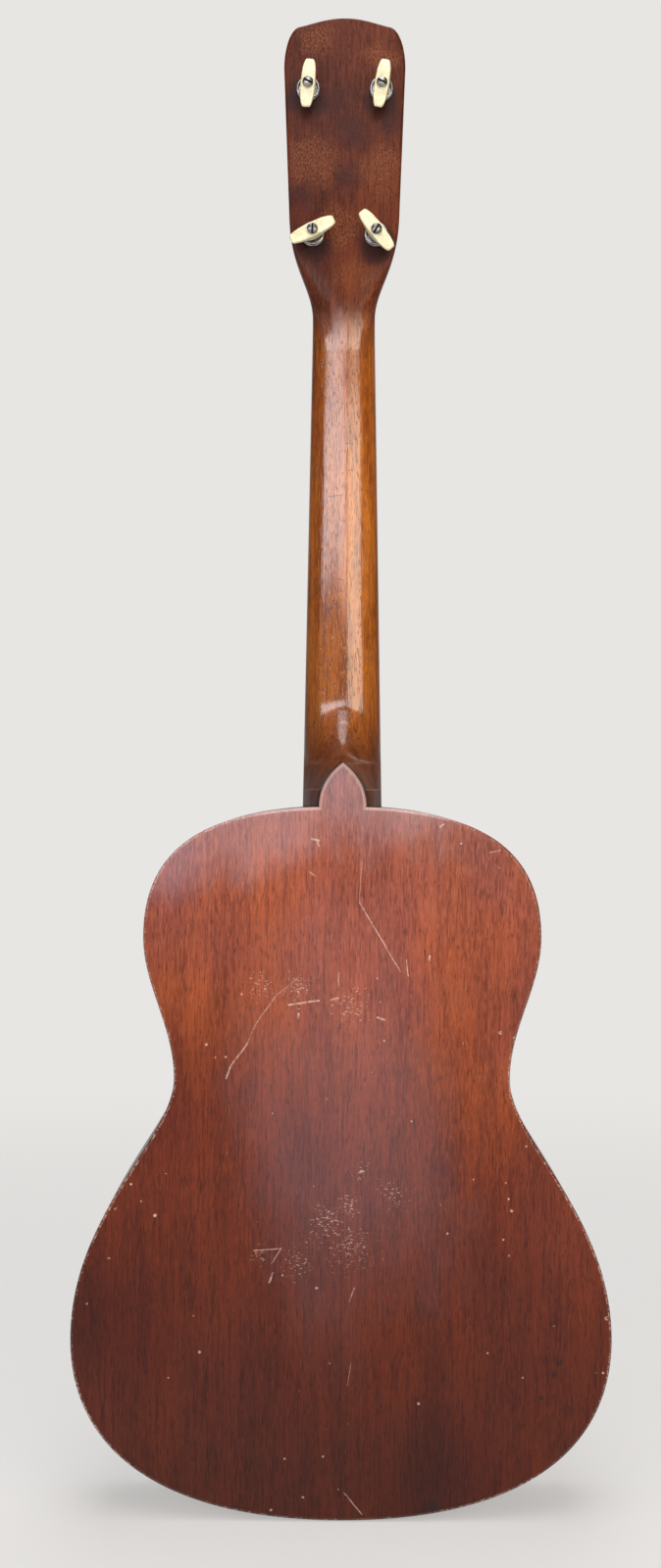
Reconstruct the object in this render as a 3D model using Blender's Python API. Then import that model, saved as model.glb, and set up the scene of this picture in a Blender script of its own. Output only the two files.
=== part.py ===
# Tenor ukulele, hung upright by its headstock. The neck runs along +Z, the flat back faces
# -Y and the strings face +Y; left and right are as seen from the back. Lengths are metres.
# The origin is where a hanger's yoke carries the flare of the headstock, at mid-thickness.

import math

import bmesh
import bpy
import numpy as np
from mathutils import Matrix, Vector

# Clearance between pieces that are glued, seated or cut to each other
seat_gap = 0.0003
# How far a cutting shape passes through the face that it cuts
cut_margin = 0.001

# Strings, from the one on the right (+X) to the one on the left
string_names = ("g", "c", "e", "a")
string_diameters = (0.00072, 0.00091, 0.00081, 0.00064)
scale_length = 0.432
string_spread_at_nut = 0.0212
string_spread_at_saddle = 0.0375
string_over_first_fret = 0.00035
action_at_twelfth_fret = 0.0025
winding_turns = 3
winding_clearance = 0.00045
winding_steps_per_turn = 16
knot_swells = (1.0, 2.0, 2.5, 2.0, 0.9)

# Neck and fretboard
frets_to_body = 12
fret_count = 17
neck_width_at_nut = 0.028
neck_width_at_body = 0.0356
neck_depth_at_nut = 0.0136
neck_depth_at_heel = 0.0152
neck_edge_height = 0.0012
fretboard_thickness = 0.004
fretboard_past_last_fret = 0.0055
fret_crown_width = 0.002
fret_crown_height = 0.0009
fret_tang_width = 0.0006
fret_tang_depth = 0.0016
fret_end_slope = 0.7
nut_thickness = 0.0045
nut_crest_length = 0.0011
nut_slot_flat = 0.002
nut_fall = 0.0012

# Heel, with a foot where it meets the body
heel_button_width = 0.0206
heel_button_height = 0.019
heel_foot_height = 0.007
heel_foot_step = 0.0006
heel_sweep_height = 0.029
heel_button_reach = (0.42, 0.62, 0.74)
heel_sweep_reach = (0.05, 0.45, 0.22, 0.99)
dowel_diameter = 0.008
dowel_depth_in_heel = 0.014

# Powers of a section's curve for its flanks and its depth, as neck_ring uses them
foot_powers = (1.8, 1.15)
heel_powers = (2.7, 1.35)
head_power = 0.1

# Headstock
hanger_above_nut = 0.020
head_length = 0.137
head_thickness = 0.0115
head_step = 0.003
head_ramp_length = 0.006
head_edge_height = 0.005
head_blend_below_nut = 0.012
head_flare_length = 0.044
flare_reach = (0.30, 0.52)
flare_swell = (0.0004, 0.0018)
head_width_at_flare = 0.049
head_width_at_top = 0.056
crown_rise = 0.0040
crown_shoulder_from_centre = 0.0205
crown_corner_drop = 0.0185
crown_reach = (0.42, 0.70, 0.33)
corner_reach = (0.61, 0.514)
corner_fall = 0.0012
corner_overlap = 0.0001

# Body outline: widths, and distances below the edge that meets the neck
body_length = 0.305
upper_bout_width = 0.1712
upper_bout_drop = 0.0562
waist_width = 0.1442
waist_drop = 0.1171
lower_bout_width = 0.2318
lower_bout_drop = 0.228
body_depth_at_neck = 0.058
body_depth_at_tail = 0.066

# How full each stretch of the outline is: the reach of its two curve handles
shoulder_reach = (0.666, 0.717)
upper_flank_reach = (0.345, 0.366)
lower_flank_reach = (0.227, 0.480)
tail_reach = (0.629, 0.648)
outline_steps = (9, 8, 12, 13)

# Body wood
top_thickness = 0.0019
back_thickness = 0.0021
side_thickness = 0.0018
top_edge_radius = 0.0008
back_edge_radius = 0.0014
lining_width = 0.005
lining_height = 0.0065
lining_top_width = 0.002
head_block_width = 0.050
head_block_length = 0.020
tail_block_width = 0.044
tail_block_length = 0.014
brace_width = 0.006
brace_height = 0.008
brace_tip_height = 0.0025
brace_tip_length = 0.022
brace_scoop_reach = (0.45, 0.5)
back_brace_drops = {"upper": 0.062, "middle": 0.135, "lower": 0.212}

# A brace's section: places across its width and the height there, as shares of both
brace_section = ((-0.5, 0.8), (-0.25, 1.0), (0.25, 1.0), (0.5, 0.8))

# Soundhole and the ring let in round it
soundhole_diameter = 0.057
rosette_inset = 0.0015
rosette_width = 0.003
rosette_thickness = 0.0006
rosette_clearance = 0.004
round_sides = 40
brace_from_rosette = 0.010

# Bridge and saddle
bridge_width = 0.080
bridge_crest_width = 0.050
bridge_length = 0.018
bridge_ahead_of_saddle = 0.005
bridge_height = 0.0075
bridge_wing_height = 0.003
bridge_shelf_height = 0.0058
bridge_shelf_length = 0.009
bridge_wing_reach = (0.35, 0.5)
bridge_wing_fillet = 0.001
bridge_edge_bevel = 0.0004
saddle_width = 0.046
saddle_thickness = 0.0024
saddle_slot_depth = 0.0045
saddle_bevel = 0.0004
string_slot_wall = 0.001
string_pocket_width = 0.0042
string_pocket_height = 0.0032
string_pocket_length = 0.0048
string_pocket_from_rear = 0.0008
knot_height = 0.0021
knot_spacing = 0.0006
bridge_patch_width = 0.086
bridge_patch_length = 0.028
bridge_patch_thickness = 0.0015
bridge_patch_bevel = 0.00045

# Friction pegs
lower_peg_above_nut = 0.0395
lower_peg_from_centre = 0.0142
upper_peg_above_nut = 0.1045
upper_peg_from_centre = 0.0164
shaft_diameter = 0.006
barrel_diameter = 0.0054
barrel_length = 0.0082
post_cap_length = 0.0048
post_cap_step = 0.0006
post_flange_diameter = 0.010
post_flange_thickness = 0.0012
post_flange_bevel = 0.0005
post_hole_diameter = 0.0016
collar_diameter = 0.0102
collar_height = 0.0040
collar_wall = 0.0009
collar_floor = 0.0012
collar_band = 0.0008
collar_step = 0.0004
collar_groove_depth = 0.0003
tang_width = 0.0042
tang_length = 0.0022
button_lift = 0.0008
button_length = 0.0215
button_width = 0.0068
button_height = 0.0078
button_boss_length = 0.0084
button_end_narrowing = 0.34
button_boss_power = 0.9
button_wing_power = 0.3
screw_diameter = 0.0024
screw_length = 0.0105
screw_point_length = 0.0006
screw_point_diameter = 0.00144
screw_head_diameter = 0.0048
screw_head_height = 0.0017
screw_head_rim = 0.00034
screw_slot_width = 0.0008
screw_slot_depth = 0.0009
peg_sides = 16
bore_sides = 14
string_hole_sides = 10
collar_sides = 20
button_sides = 20

# The rounded end of a post: its radius and height as shares
post_cap_shape = ((1.0, 0.6), (0.7, 0.92), (0.0, 1.0))

# A button from its base up: shares of its height, of its wing's reach and of its width
button_shape = ((0.18, 0.42, 1.0), (0.40, 0.66, 1.0), (0.58, 0.88, 1.0), (0.78, 1.0, 1.0),
                (0.93, 0.985, 0.96), (1.0, 0.94, 0.82))
button_base_share = 0.95

# Where each wing button and each screw slot points at rest, in degrees from +X towards +Z
button_headings = {"g": -51.5, "c": 81.0, "e": 85.0, "a": 26.0}
slot_headings = {"g": 60.0, "c": -28.0, "e": -27.0, "a": 88.0}


def fret_distance(number):
    return scale_length * (1 - 2 ** (-number / 12))


# Heights along the neck
nut_z = -hanger_above_nut
head_top_z = nut_z + head_length
flare_end_z = nut_z + head_flare_length
ramp_start_z = nut_z + nut_thickness + seat_gap
body_top_z = nut_z - fret_distance(frets_to_body)
tail_z = body_top_z - body_length
saddle_z = nut_z - scale_length
board_end_z = nut_z - fret_distance(fret_count) - fretboard_past_last_fret
rosette_outer_radius = soundhole_diameter / 2 + rosette_inset + rosette_width
soundhole_z = board_end_z - rosette_clearance - rosette_outer_radius

# Levels from back to front; the neck's glued face lies level with the soundboard
head_front_y = head_thickness / 2
head_back_y = -head_thickness / 2
face_y = head_front_y + head_step
inside_front_y = face_y - top_thickness - seat_gap
board_y = face_y + seat_gap
board_top_y = board_y + fretboard_thickness
fret_seat_y = board_top_y + seat_gap
fret_top_y = fret_seat_y + fret_crown_height
string_low_at_nut_y = fret_top_y + string_over_first_fret
string_low_at_saddle_y = string_low_at_nut_y + (
    (action_at_twelfth_fret - string_over_first_fret) * scale_length / fret_distance(12)
)
saddle_top_y = string_low_at_saddle_y - seat_gap

# Levels along a peg
collar_seat_y = head_back_y - seat_gap
collar_rim_y = collar_seat_y - collar_height
button_base_y = collar_rim_y - button_lift
button_top_y = button_base_y - button_height
shaft_end_y = button_base_y + seat_gap
tang_end_y = shaft_end_y - tang_length
flange_y = head_front_y + seat_gap
barrel_y = flange_y + post_flange_thickness
post_hole_y = barrel_y + barrel_length - post_hole_diameter
screw_seat_y = button_top_y - seat_gap
screw_end_y = screw_seat_y + screw_length

peg_places = {
    "g": (lower_peg_from_centre, nut_z + lower_peg_above_nut),
    "c": (upper_peg_from_centre, nut_z + upper_peg_above_nut),
    "e": (-upper_peg_from_centre, nut_z + upper_peg_above_nut),
    "a": (-lower_peg_from_centre, nut_z + lower_peg_above_nut),
}

# Materials: name, colour, roughness and how metallic it is
wood_body = ("mahogany_body", (0.235, 0.066, 0.028), 0.32, 0.0)
wood_neck = ("mahogany_neck", (0.290, 0.088, 0.022), 0.30, 0.0)
wood_inside = ("mahogany_raw", (0.330, 0.160, 0.085), 0.70, 0.0)
rosewood = ("rosewood", (0.055, 0.024, 0.015), 0.45, 0.0)
bone = ("bone", (0.760, 0.700, 0.560), 0.40, 0.0)
cream = ("cream_celluloid", (0.800, 0.700, 0.380), 0.28, 0.0)
nickel = ("nickel", (0.560, 0.560, 0.540), 0.30, 1.0)
steel = ("screw_steel", (0.200, 0.195, 0.190), 0.38, 1.0)
fret_metal = ("fret_wire", (0.620, 0.600, 0.550), 0.28, 1.0)
nylon = ("nylon_string", (0.780, 0.760, 0.700), 0.25, 0.0)


def material(finish):
    name, colour, roughness, metallic = finish
    found = bpy.data.materials.get(name)
    if found:
        return found
    made = bpy.data.materials.new(name)
    made.use_nodes = True
    made.diffuse_color = (*colour, 1.0)
    shader = made.node_tree.nodes["Principled BSDF"]
    shader.inputs["Base Color"].default_value = (*colour, 1.0)
    shader.inputs["Roughness"].default_value = roughness
    shader.inputs["Metallic"].default_value = metallic
    return made


# Modelling helpers


def finished_mesh(bm, name):
    bmesh.ops.remove_doubles(bm, verts=bm.verts, dist=1e-6)
    loose = [edge for edge in bm.edges if not edge.link_faces]
    bmesh.ops.delete(bm, geom=loose, context="EDGES")
    bmesh.ops.recalc_face_normals(bm, faces=bm.faces)
    mesh = bpy.data.meshes.new(name)
    bm.to_mesh(mesh)
    bm.free()
    return mesh


def loft(rings, name, closed=False):
    # A skin over rings of as many points each; an open loft gets a cap at both ends
    bm = bmesh.new()
    rows = [[bm.verts.new(point) for point in ring] for ring in rings]
    following = rows[1:] + rows[:1] if closed else rows[1:]
    for low, high in zip(rows, following):
        for i in range(len(low)):
            j = (i + 1) % len(low)
            bm.faces.new((low[i], low[j], high[j], high[i]))
    if not closed:
        bm.faces.new(reversed(rows[0]))
        bm.faces.new(rows[-1])
    return finished_mesh(bm, name)


def turned(profile, sides, name):
    # A closed profile of (radius, y) turned about the Y axis
    rings = []
    for k in range(sides):
        angle = 2 * math.pi * k / sides
        rings.append([(r * math.cos(angle), y, r * math.sin(angle)) for r, y in profile])
    return loft(rings, name, closed=True)


def slab(polygon, front_y, back_y_at, name):
    # A polygon in (x, z) given thickness between a flat front and a back that may slope
    front = [(x, front_y, z) for x, z in polygon]
    back = [(x, back_y_at(z), z) for x, z in polygon]
    return loft([front, back], name)


def box(x_range, y_range, z_range):
    left, right = x_range
    low, high = y_range
    corners = ((left, low), (right, low), (right, high), (left, high))
    return loft([[(x, y, z) for x, y in corners] for z in z_range], "box")


def rod(start, end, radius, sides=20):
    axis = (Vector(end) - Vector(start)).normalized()
    across = axis.orthogonal().normalized()
    beside = axis.cross(across)
    rings = []
    for centre in (Vector(start), Vector(end)):
        angles = [2 * math.pi * k / sides for k in range(sides)]
        rings.append([
            centre + radius * (math.cos(a) * across + math.sin(a) * beside) for a in angles
        ])
    return loft(rings, "rod")


def combined(mesh, tool_mesh, operation="DIFFERENCE"):
    # The mesh after a Boolean with a second mesh in the same space
    target = bpy.data.objects.new("target", mesh)
    tool = bpy.data.objects.new("tool", tool_mesh)
    for item in (target, tool):
        bpy.context.scene.collection.objects.link(item)
    cut = target.modifiers.new("cut", "BOOLEAN")
    cut.operation = operation
    cut.solver = "EXACT"
    cut.object = tool
    graph = bpy.context.evaluated_depsgraph_get()
    result = bpy.data.meshes.new_from_object(target.evaluated_get(graph))
    for item in (target, tool):
        bpy.data.objects.remove(item)
    return result


def softened(mesh, width):
    # Bevels each edge where two faces meet at more than 40 degrees
    bm = bmesh.new()
    bm.from_mesh(mesh)
    sharp = [edge for edge in bm.edges if edge.calc_face_angle(0) > math.radians(40)]
    bmesh.ops.bevel(bm, geom=sharp, offset=width, segments=1, profile=0.5, affect="EDGES")
    return finished_mesh(bm, mesh.name)


def add_part(name, item, finish, parent=None, location=(0, 0, 0), turn_about_y=0.0):
    if isinstance(item, bpy.types.Mesh):
        item.shade_smooth()
        item.set_sharp_from_angle(angle=math.radians(35))
    item.materials.clear()
    item.materials.append(material(finish))
    part = bpy.data.objects.new(name, item)
    bpy.context.scene.collection.objects.link(part)
    part.location = location
    part.rotation_euler = (0, turn_about_y, 0)
    part.parent = parent
    return part


def bezier(start, start_handle, end_handle, end, steps):
    points = []
    for k in range(steps + 1):
        t = k / steps
        shares = ((1 - t) ** 3, 3 * (1 - t) ** 2 * t, 3 * (1 - t) * t * t, t ** 3)
        knots = zip(start, start_handle, end_handle, end)
        points.append(tuple(sum(s * v for s, v in zip(shares, values)) for values in knots))
    return points


def eased(share):
    share = min(max(share, 0.0), 1.0)
    return share * share * (3 - 2 * share)


# Body outline, one half in (x, z) from the middle of its neck edge down to its tail


def body_half():
    upper, waist, lower = upper_bout_width / 2, waist_width / 2, lower_bout_width / 2
    upper_z = body_top_z - upper_bout_drop
    waist_z = body_top_z - waist_drop
    lower_z = body_top_z - lower_bout_drop
    flank = upper_z - waist_z
    hip = waist_z - lower_z
    stretches = (
        ((0, body_top_z), (upper * shoulder_reach[0], body_top_z),
         (upper, upper_z + upper_bout_drop * shoulder_reach[1]), (upper, upper_z)),
        ((upper, upper_z), (upper, upper_z - flank * upper_flank_reach[0]),
         (waist, waist_z + flank * upper_flank_reach[1]), (waist, waist_z)),
        ((waist, waist_z), (waist, waist_z - hip * lower_flank_reach[0]),
         (lower, lower_z + hip * lower_flank_reach[1]), (lower, lower_z)),
        ((lower, lower_z), (lower, lower_z - (lower_z - tail_z) * tail_reach[0]),
         (lower * tail_reach[1], tail_z), (0, tail_z)),
    )
    points = [stretches[0][0]]
    for stretch, steps in zip(stretches, outline_steps):
        points += bezier(*stretch, steps)[1:]
    return np.array(points)


def inset_curve(curve, distance):
    # The curve moved inwards, square to itself, with its ends kept on the centreline
    along = np.gradient(curve, axis=0)
    along[0] = (1, 0)
    along[-1] = (-1, 0)
    along /= np.linalg.norm(along, axis=1)[:, None]
    return curve + distance * np.column_stack([along[:, 1], -along[:, 0]])


def full_loop(half):
    return [tuple(point) for point in half] + [(-x, z) for x, z in half[-2:0:-1]]


def narrowest(curve, z_range):
    # Least half width of the curve over a band of heights
    levels = np.linspace(z_range[0], z_range[1], 9)
    return min(np.interp(-levels, -curve[:, 1], curve[:, 0]))


def body_edge_z(x):
    # Height of the body's edge under the heel
    edge = outline[: outline_steps[0] + 1]
    return float(np.interp(abs(x), edge[:, 0], edge[:, 1]))


def back_y(z):
    share = (body_top_z - z) / body_length
    return face_y - body_depth_at_neck - (body_depth_at_tail - body_depth_at_neck) * share


def inside_back_y(z):
    return back_y(z) + back_thickness + seat_gap


outline = body_half()
side_inside = inset_curve(outline, side_thickness)
block_face = inset_curve(outline, side_thickness + seat_gap)
lining_edge = inset_curve(outline, side_thickness + seat_gap + lining_width)


def heel_button():
    # The pointed end of the back that caps the heel: (x, z) from its foot to its tip
    half = heel_button_width / 2
    foot_z = body_edge_z(half)
    tip_z = body_top_z + heel_button_height
    rise = tip_z - foot_z
    low_reach, tip_across, tip_reach = heel_button_reach
    return bezier((half, foot_z), (half, foot_z + low_reach * rise),
                  (tip_across * half, foot_z + tip_reach * rise), (0, tip_z), 8)


# Plates, sides, blocks and linings


def plate(half, inner_y, outer_y, radius, outwards, name):
    # A plate with a rounded outer edge; outwards is the sign of y on its outer side
    rings = [[(x, inner_y(z), z) for x, z in full_loop(half)]]
    rounding_steps = 2
    for k in range(rounding_steps + 1):
        turn = 0.5 * math.pi * k / rounding_steps
        loop = full_loop(inset_curve(half, radius * (1 - math.cos(turn))))
        level = outwards * radius * (math.sin(turn) - 1)
        rings.append([(x, outer_y(z) + level, z) for x, z in loop])
    return loft(rings, name)


def make_top_plate():
    mesh = plate(outline, lambda z: face_y - top_thickness, lambda z: face_y,
                 top_edge_radius, 1, "top_plate")
    cut_depth = 2 * top_thickness
    hole = rod((0, face_y - cut_depth, soundhole_z), (0, face_y + cut_depth, soundhole_z),
               soundhole_diameter / 2, round_sides)
    inner = soundhole_diameter / 2 + rosette_inset - seat_gap
    outer = rosette_outer_radius + seat_gap
    floor = face_y - rosette_thickness - seat_gap
    profile = ((inner, floor), (outer, floor), (outer, face_y + cut_depth),
               (inner, face_y + cut_depth))
    groove = turned(profile, round_sides, "groove")
    groove.transform(Matrix.Translation((0, 0, soundhole_z)))
    add_part("top_plate", combined(combined(mesh, hole), groove), wood_body)


def make_soundhole_ring():
    inner = soundhole_diameter / 2 + rosette_inset
    profile = ((inner, -rosette_thickness), (rosette_outer_radius, -rosette_thickness),
               (rosette_outer_radius, 0), (inner, 0))
    ring = turned(profile, round_sides, "soundhole_ring")
    add_part("soundhole_ring", ring, bone, location=(0, face_y, soundhole_z))


def make_back_plate():
    shoulder = outline[: outline_steps[0]]
    past_button = shoulder[shoulder[:, 0] > heel_button_width / 2 + back_edge_radius]
    half = np.vstack([heel_button()[::-1], past_button, outline[outline_steps[0]:]])
    mesh = plate(half, lambda z: back_y(z) + back_thickness, back_y,
                 back_edge_radius, -1, "back_plate")
    add_part("back_plate", mesh, wood_body)


def dowel_span():
    return (body_top_z - side_thickness - seat_gap - head_block_length,
            body_top_z + dowel_depth_in_heel)


def dowel_bore():
    y = face_y - body_depth_at_neck / 2
    low, high = dowel_span()
    return rod((0, y, low - cut_margin), (0, y, high + seat_gap), dowel_diameter / 2 + seat_gap)


def make_dowel():
    y = face_y - body_depth_at_neck / 2
    low, high = dowel_span()
    add_part("neck_dowel", rod((0, y, low), (0, y, high), dowel_diameter / 2), wood_inside)


def make_sides():
    for name, hand in (("side_left", -1), ("side_right", 1)):
        rings = []
        for outer, inner in zip(outline, side_inside):
            ring = []
            for (x, z), front in ((outer, True), (outer, False), (inner, False), (inner, True)):
                y = inside_front_y if front else inside_back_y(z)
                ring.append((hand * max(x, seat_gap / 2), y, z))
            rings.append(ring)
        mesh = loft(rings, name)
        add_part(name, combined(mesh, dowel_bore()), wood_body)


def block_outline(width, length, at_tail):
    # A block's face follows the sides; its inner edge is straight
    curve = block_face[::-1] if at_tail else block_face
    end_stretch = curve[: outline_steps[-1 if at_tail else 0] + 1]
    half = width / 2
    edge_z = float(np.interp(half, end_stretch[:, 0], end_stretch[:, 1]))
    inner_z = end_stretch[0][1] + (length if at_tail else -length)
    face = [tuple(p) for p in end_stretch if p[0] < half - cut_margin] + [(half, edge_z)]
    return full_loop(np.array(face + [(half, inner_z), (0, inner_z)]))


def make_blocks():
    head = slab(block_outline(head_block_width, head_block_length, False),
                inside_front_y, inside_back_y, "head_block")
    add_part("head_block", combined(head, dowel_bore()), wood_inside)
    tail = slab(block_outline(tail_block_width, tail_block_length, True),
                inside_front_y, inside_back_y, "tail_block")
    add_part("tail_block", tail, wood_inside)


def lining_stations():
    # Places along the outline, as fractional point numbers, between the two blocks
    last = len(outline) - 1
    head_clear = head_block_width / 2 + seat_gap
    tail_clear = tail_block_width / 2 + seat_gap
    starts, ends = [], []
    for curve in (block_face, lining_edge):
        rise = curve[: outline_steps[0] + 1, 0]
        fall = curve[::-1][: outline_steps[-1] + 1, 0]
        starts.append(np.interp(head_clear, rise, range(len(rise))))
        ends.append(last - np.interp(tail_clear, fall, range(len(fall))))
    start, end = max(starts), min(ends)
    least_step = 0.3
    between = np.arange(math.ceil(start + least_step), math.floor(end - least_step) + 1)
    return [start, *between, end]


def make_linings():
    section = ((0, 0), (lining_width, 0), (lining_top_width, lining_height),
               (0, lining_height))
    curves = [inset_curve(outline, side_thickness + seat_gap + depth) for depth, _ in section]
    numbers = np.arange(len(outline))
    for plate_name in ("top", "back"):
        for side_name, hand in (("left", -1), ("right", 1)):
            rings = []
            for station in lining_stations():
                ring = []
                for curve, (_, height) in zip(curves, section):
                    x = np.interp(station, numbers, curve[:, 0])
                    z = np.interp(station, numbers, curve[:, 1])
                    if plate_name == "top":
                        y = inside_front_y - height
                    else:
                        y = inside_back_y(z) + height
                    ring.append((hand * x, y, z))
                rings.append(ring)
            name = f"{plate_name}_lining_{side_name}"
            add_part(name, loft(rings, name), wood_inside)


def make_brace(name, z, on_back):
    # A bar across a plate, scooped down to thin tips that end at the linings
    half = narrowest(lining_edge, (z - brace_width / 2, z + brace_width / 2)) - seat_gap
    tip_reach, crest_reach = (reach * brace_tip_length for reach in brace_scoop_reach)
    scoop = bezier((half, brace_tip_height), (half - tip_reach, brace_tip_height),
                   (half - crest_reach, brace_height),
                   (half - brace_tip_length, brace_height), 6)
    profile = [(half, 0), *scoop]
    profile += [(-x, height) for x, height in reversed(profile)]
    rings = []
    for across, height_share in brace_section:
        level = z + across * brace_width
        ring = []
        for x, height in profile:
            rise = height * height_share
            y = inside_back_y(level) + rise if on_back else inside_front_y - rise
            ring.append((x, y, level))
        rings.append(ring)
    add_part(name, loft(rings, name), wood_inside)


def make_braces():
    reach = rosette_outer_radius + brace_from_rosette
    make_brace("top_brace_upper", soundhole_z + reach, False)
    make_brace("top_brace_lower", soundhole_z - reach, False)
    for place, drop in back_brace_drops.items():
        make_brace(f"back_brace_{place}", body_top_z - drop, True)


def make_bridge_patch():
    half = bridge_patch_width / 2
    middle = saddle_z + bridge_ahead_of_saddle - bridge_length / 2
    patch = box((-half, half), (inside_front_y - bridge_patch_thickness, inside_front_y),
                (middle - bridge_patch_length / 2, middle + bridge_patch_length / 2))
    add_part("bridge_patch", softened(patch, bridge_patch_bevel), wood_inside)


# Neck, headstock and heel


def board_half_width(z):
    share = (nut_z - z) / (nut_z - body_top_z)
    return (neck_width_at_nut + (neck_width_at_body - neck_width_at_nut) * share) / 2


def head_half_width(z):
    narrow, wide = neck_width_at_nut / 2, head_width_at_flare / 2
    start_z = nut_z + nut_thickness
    span = flare_end_z - start_z
    if z <= start_z:
        return narrow
    if z >= flare_end_z:
        share = (z - flare_end_z) / (head_top_z - flare_end_z)
        return wide + (head_width_at_top / 2 - wide) * share
    low_handle = (start_z + flare_reach[0] * span, narrow + flare_swell[0])
    high_handle = (start_z + flare_reach[1] * span, wide - flare_swell[1])
    flare = np.array(bezier((start_z, narrow), low_handle, high_handle, (flare_end_z, wide), 24))
    return float(np.interp(z, flare[:, 0], flare[:, 1]))


def neck_ring(z, half_width, back, tail_half, side_power, depth_power, front, straight):
    # One cross section: flat front, short straight edges, then two flanks that meet at the
    # back. Powers of 1 give a half ellipse, small ones a squared block, and a side power
    # over 2 draws the flanks in to a ridge. tail_half leaves a flat strip along the back.
    depth = front - straight - back
    flank_steps = 10
    right = [(half_width, front)]
    for k in range(flank_steps):
        turn = 0.5 * math.pi * k / flank_steps
        x = tail_half + (half_width - tail_half) * math.cos(turn) ** side_power
        right.append((x, front - straight - depth * math.sin(turn) ** depth_power))
    right.append((tail_half, back))
    left = [(-x, y) for x, y in reversed(right)]
    return [(x, y, z) for x, y in right + left]


def heel_rings():
    # The foot, the heel up to the tip of the button, then its sweep into the shaft
    button = np.array(heel_button())
    foot_top = body_top_z + heel_foot_height
    tip_z = body_top_z + heel_button_height
    foot_levels = (body_edge_z(neck_width_at_body) - seat_gap, foot_top)
    heel_levels = np.linspace(foot_top + heel_foot_step, tip_z, 4)
    rings = []
    for z in (*foot_levels, *heel_levels):
        side_power, depth_power = foot_powers if z <= foot_top else heel_powers
        tail_half = float(np.interp(z, button[:, 1], button[:, 0]))
        rings.append(neck_ring(z, board_half_width(z), inside_back_y(z), tail_half,
                               side_power, depth_power, face_y, neck_edge_height))
    deep, shallow = inside_back_y(tip_z), face_y - neck_depth_at_heel
    fall = shallow - deep
    steps = 9
    low_rise, low_fall, high_rise, high_fall = heel_sweep_reach
    sweep = bezier((tip_z, deep), (tip_z + low_rise * heel_sweep_height, deep + low_fall * fall),
                   (tip_z + high_rise * heel_sweep_height, deep + high_fall * fall),
                   (tip_z + heel_sweep_height, shallow), steps)
    for k, (z, back) in enumerate(sweep[1:], start=1):
        share = eased(k / steps)
        side_power = heel_powers[0] + (1 - heel_powers[0]) * share
        depth_power = heel_powers[1] + (1 - heel_powers[1]) * share
        rings.append(neck_ring(z, board_half_width(z), back, 0, side_power, depth_power,
                               face_y, neck_edge_height))
    return rings


def shaft_rings(start_z, end_z):
    rings = []
    for share in np.linspace(0, 1, 6)[1:-1]:
        z = start_z + (end_z - start_z) * share
        depth = neck_depth_at_heel + (neck_depth_at_nut - neck_depth_at_heel) * share
        rings.append(neck_ring(z, board_half_width(z), face_y - depth, 0, 1, 1,
                               face_y, neck_edge_height))
    return rings


def headstock_rings(start_z):
    # The rounded shaft squares up into the headstock while its edges flare out. The last ring
    # but one clears the upper posts, which leaves the face above them in one piece.
    ramp_end = ramp_start_z + head_ramp_length
    clip_z = nut_z + upper_peg_above_nut + post_flange_diameter / 2 + cut_margin
    levels = [start_z, (start_z + nut_z) / 2, nut_z, ramp_start_z, ramp_end]
    levels += [*np.linspace(ramp_end, flare_end_z, 7)[1:], clip_z, head_top_z + cut_margin]
    rings = []
    for z in levels:
        share = eased((z - start_z) / (flare_end_z - start_z))
        power = head_power ** share
        back = face_y - neck_depth_at_nut
        back += (head_back_y - back) * eased((z - start_z) / (ramp_end - start_z))
        front = head_front_y + head_step * min(max((ramp_end - z) / head_ramp_length, 0), 1)
        straight = neck_edge_height + (head_edge_height - neck_edge_height) * share
        half = board_half_width(z) if z < nut_z else head_half_width(z)
        rings.append(neck_ring(z, half, back, 0, power, power, front, straight))
    return rings


def crown_cutter():
    # Everything above the headstock's curved top edge
    shoulder, shoulder_z = crown_shoulder_from_centre, head_top_z - crown_rise
    corner_z = shoulder_z - crown_corner_drop
    half = head_half_width(corner_z) + corner_overlap
    middle_reach, outer_reach, outer_rise = crown_reach
    crown = bezier((0, head_top_z), (middle_reach * shoulder, head_top_z),
                   (outer_reach * shoulder, shoulder_z + outer_rise * crown_rise),
                   (shoulder, shoulder_z), 7)
    across = shoulder + corner_reach[0] * (half - shoulder)
    corner = bezier((shoulder, shoulder_z), (across, shoulder_z - corner_fall),
                    (half, shoulder_z - corner_reach[1] * crown_corner_drop), (half, corner_z), 8)
    outside_x, outside_z = 2 * half, head_top_z + half
    outside = [(outside_x, corner_z), (outside_x, outside_z)]
    right = crown + corner[1:] + outside
    polygon = right + [(-x, z) for x, z in right[:0:-1]]
    front = [(x, head_thickness, z) for x, z in polygon]
    back = [(x, -head_thickness, z) for x, z in polygon]
    return loft([front, back], "crown")


def body_edge_cutter():
    # The body's edge under the heel, with the seat's gap round it
    edge = inset_curve(outline, -seat_gap)[: outline_steps[0]]
    low_z = edge[-1][1] - neck_width_at_body
    polygon = full_loop(np.array([*edge, (edge[-1][0], low_z), (0, low_z)]))
    depth = 2 * body_depth_at_neck
    return loft([[(x, y, z) for x, z in polygon] for y in (-depth, depth)], "body_edge")


def make_neck():
    heel = heel_rings()
    heel_end_z = heel[-1][0][2]
    head_start_z = nut_z - head_blend_below_nut
    rings = heel + shaft_rings(heel_end_z, head_start_z) + headstock_rings(head_start_z)
    mesh = combined(loft(rings, "neck"), body_edge_cutter())
    mesh = combined(mesh, crown_cutter())
    for x, z in peg_places.values():
        hole = rod((x, -head_thickness, z), (x, head_thickness, z), shaft_diameter / 2 + seat_gap)
        mesh = combined(mesh, hole)
    add_part("neck", combined(mesh, dowel_bore()), wood_neck)


# Fretboard, frets and nut


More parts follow.
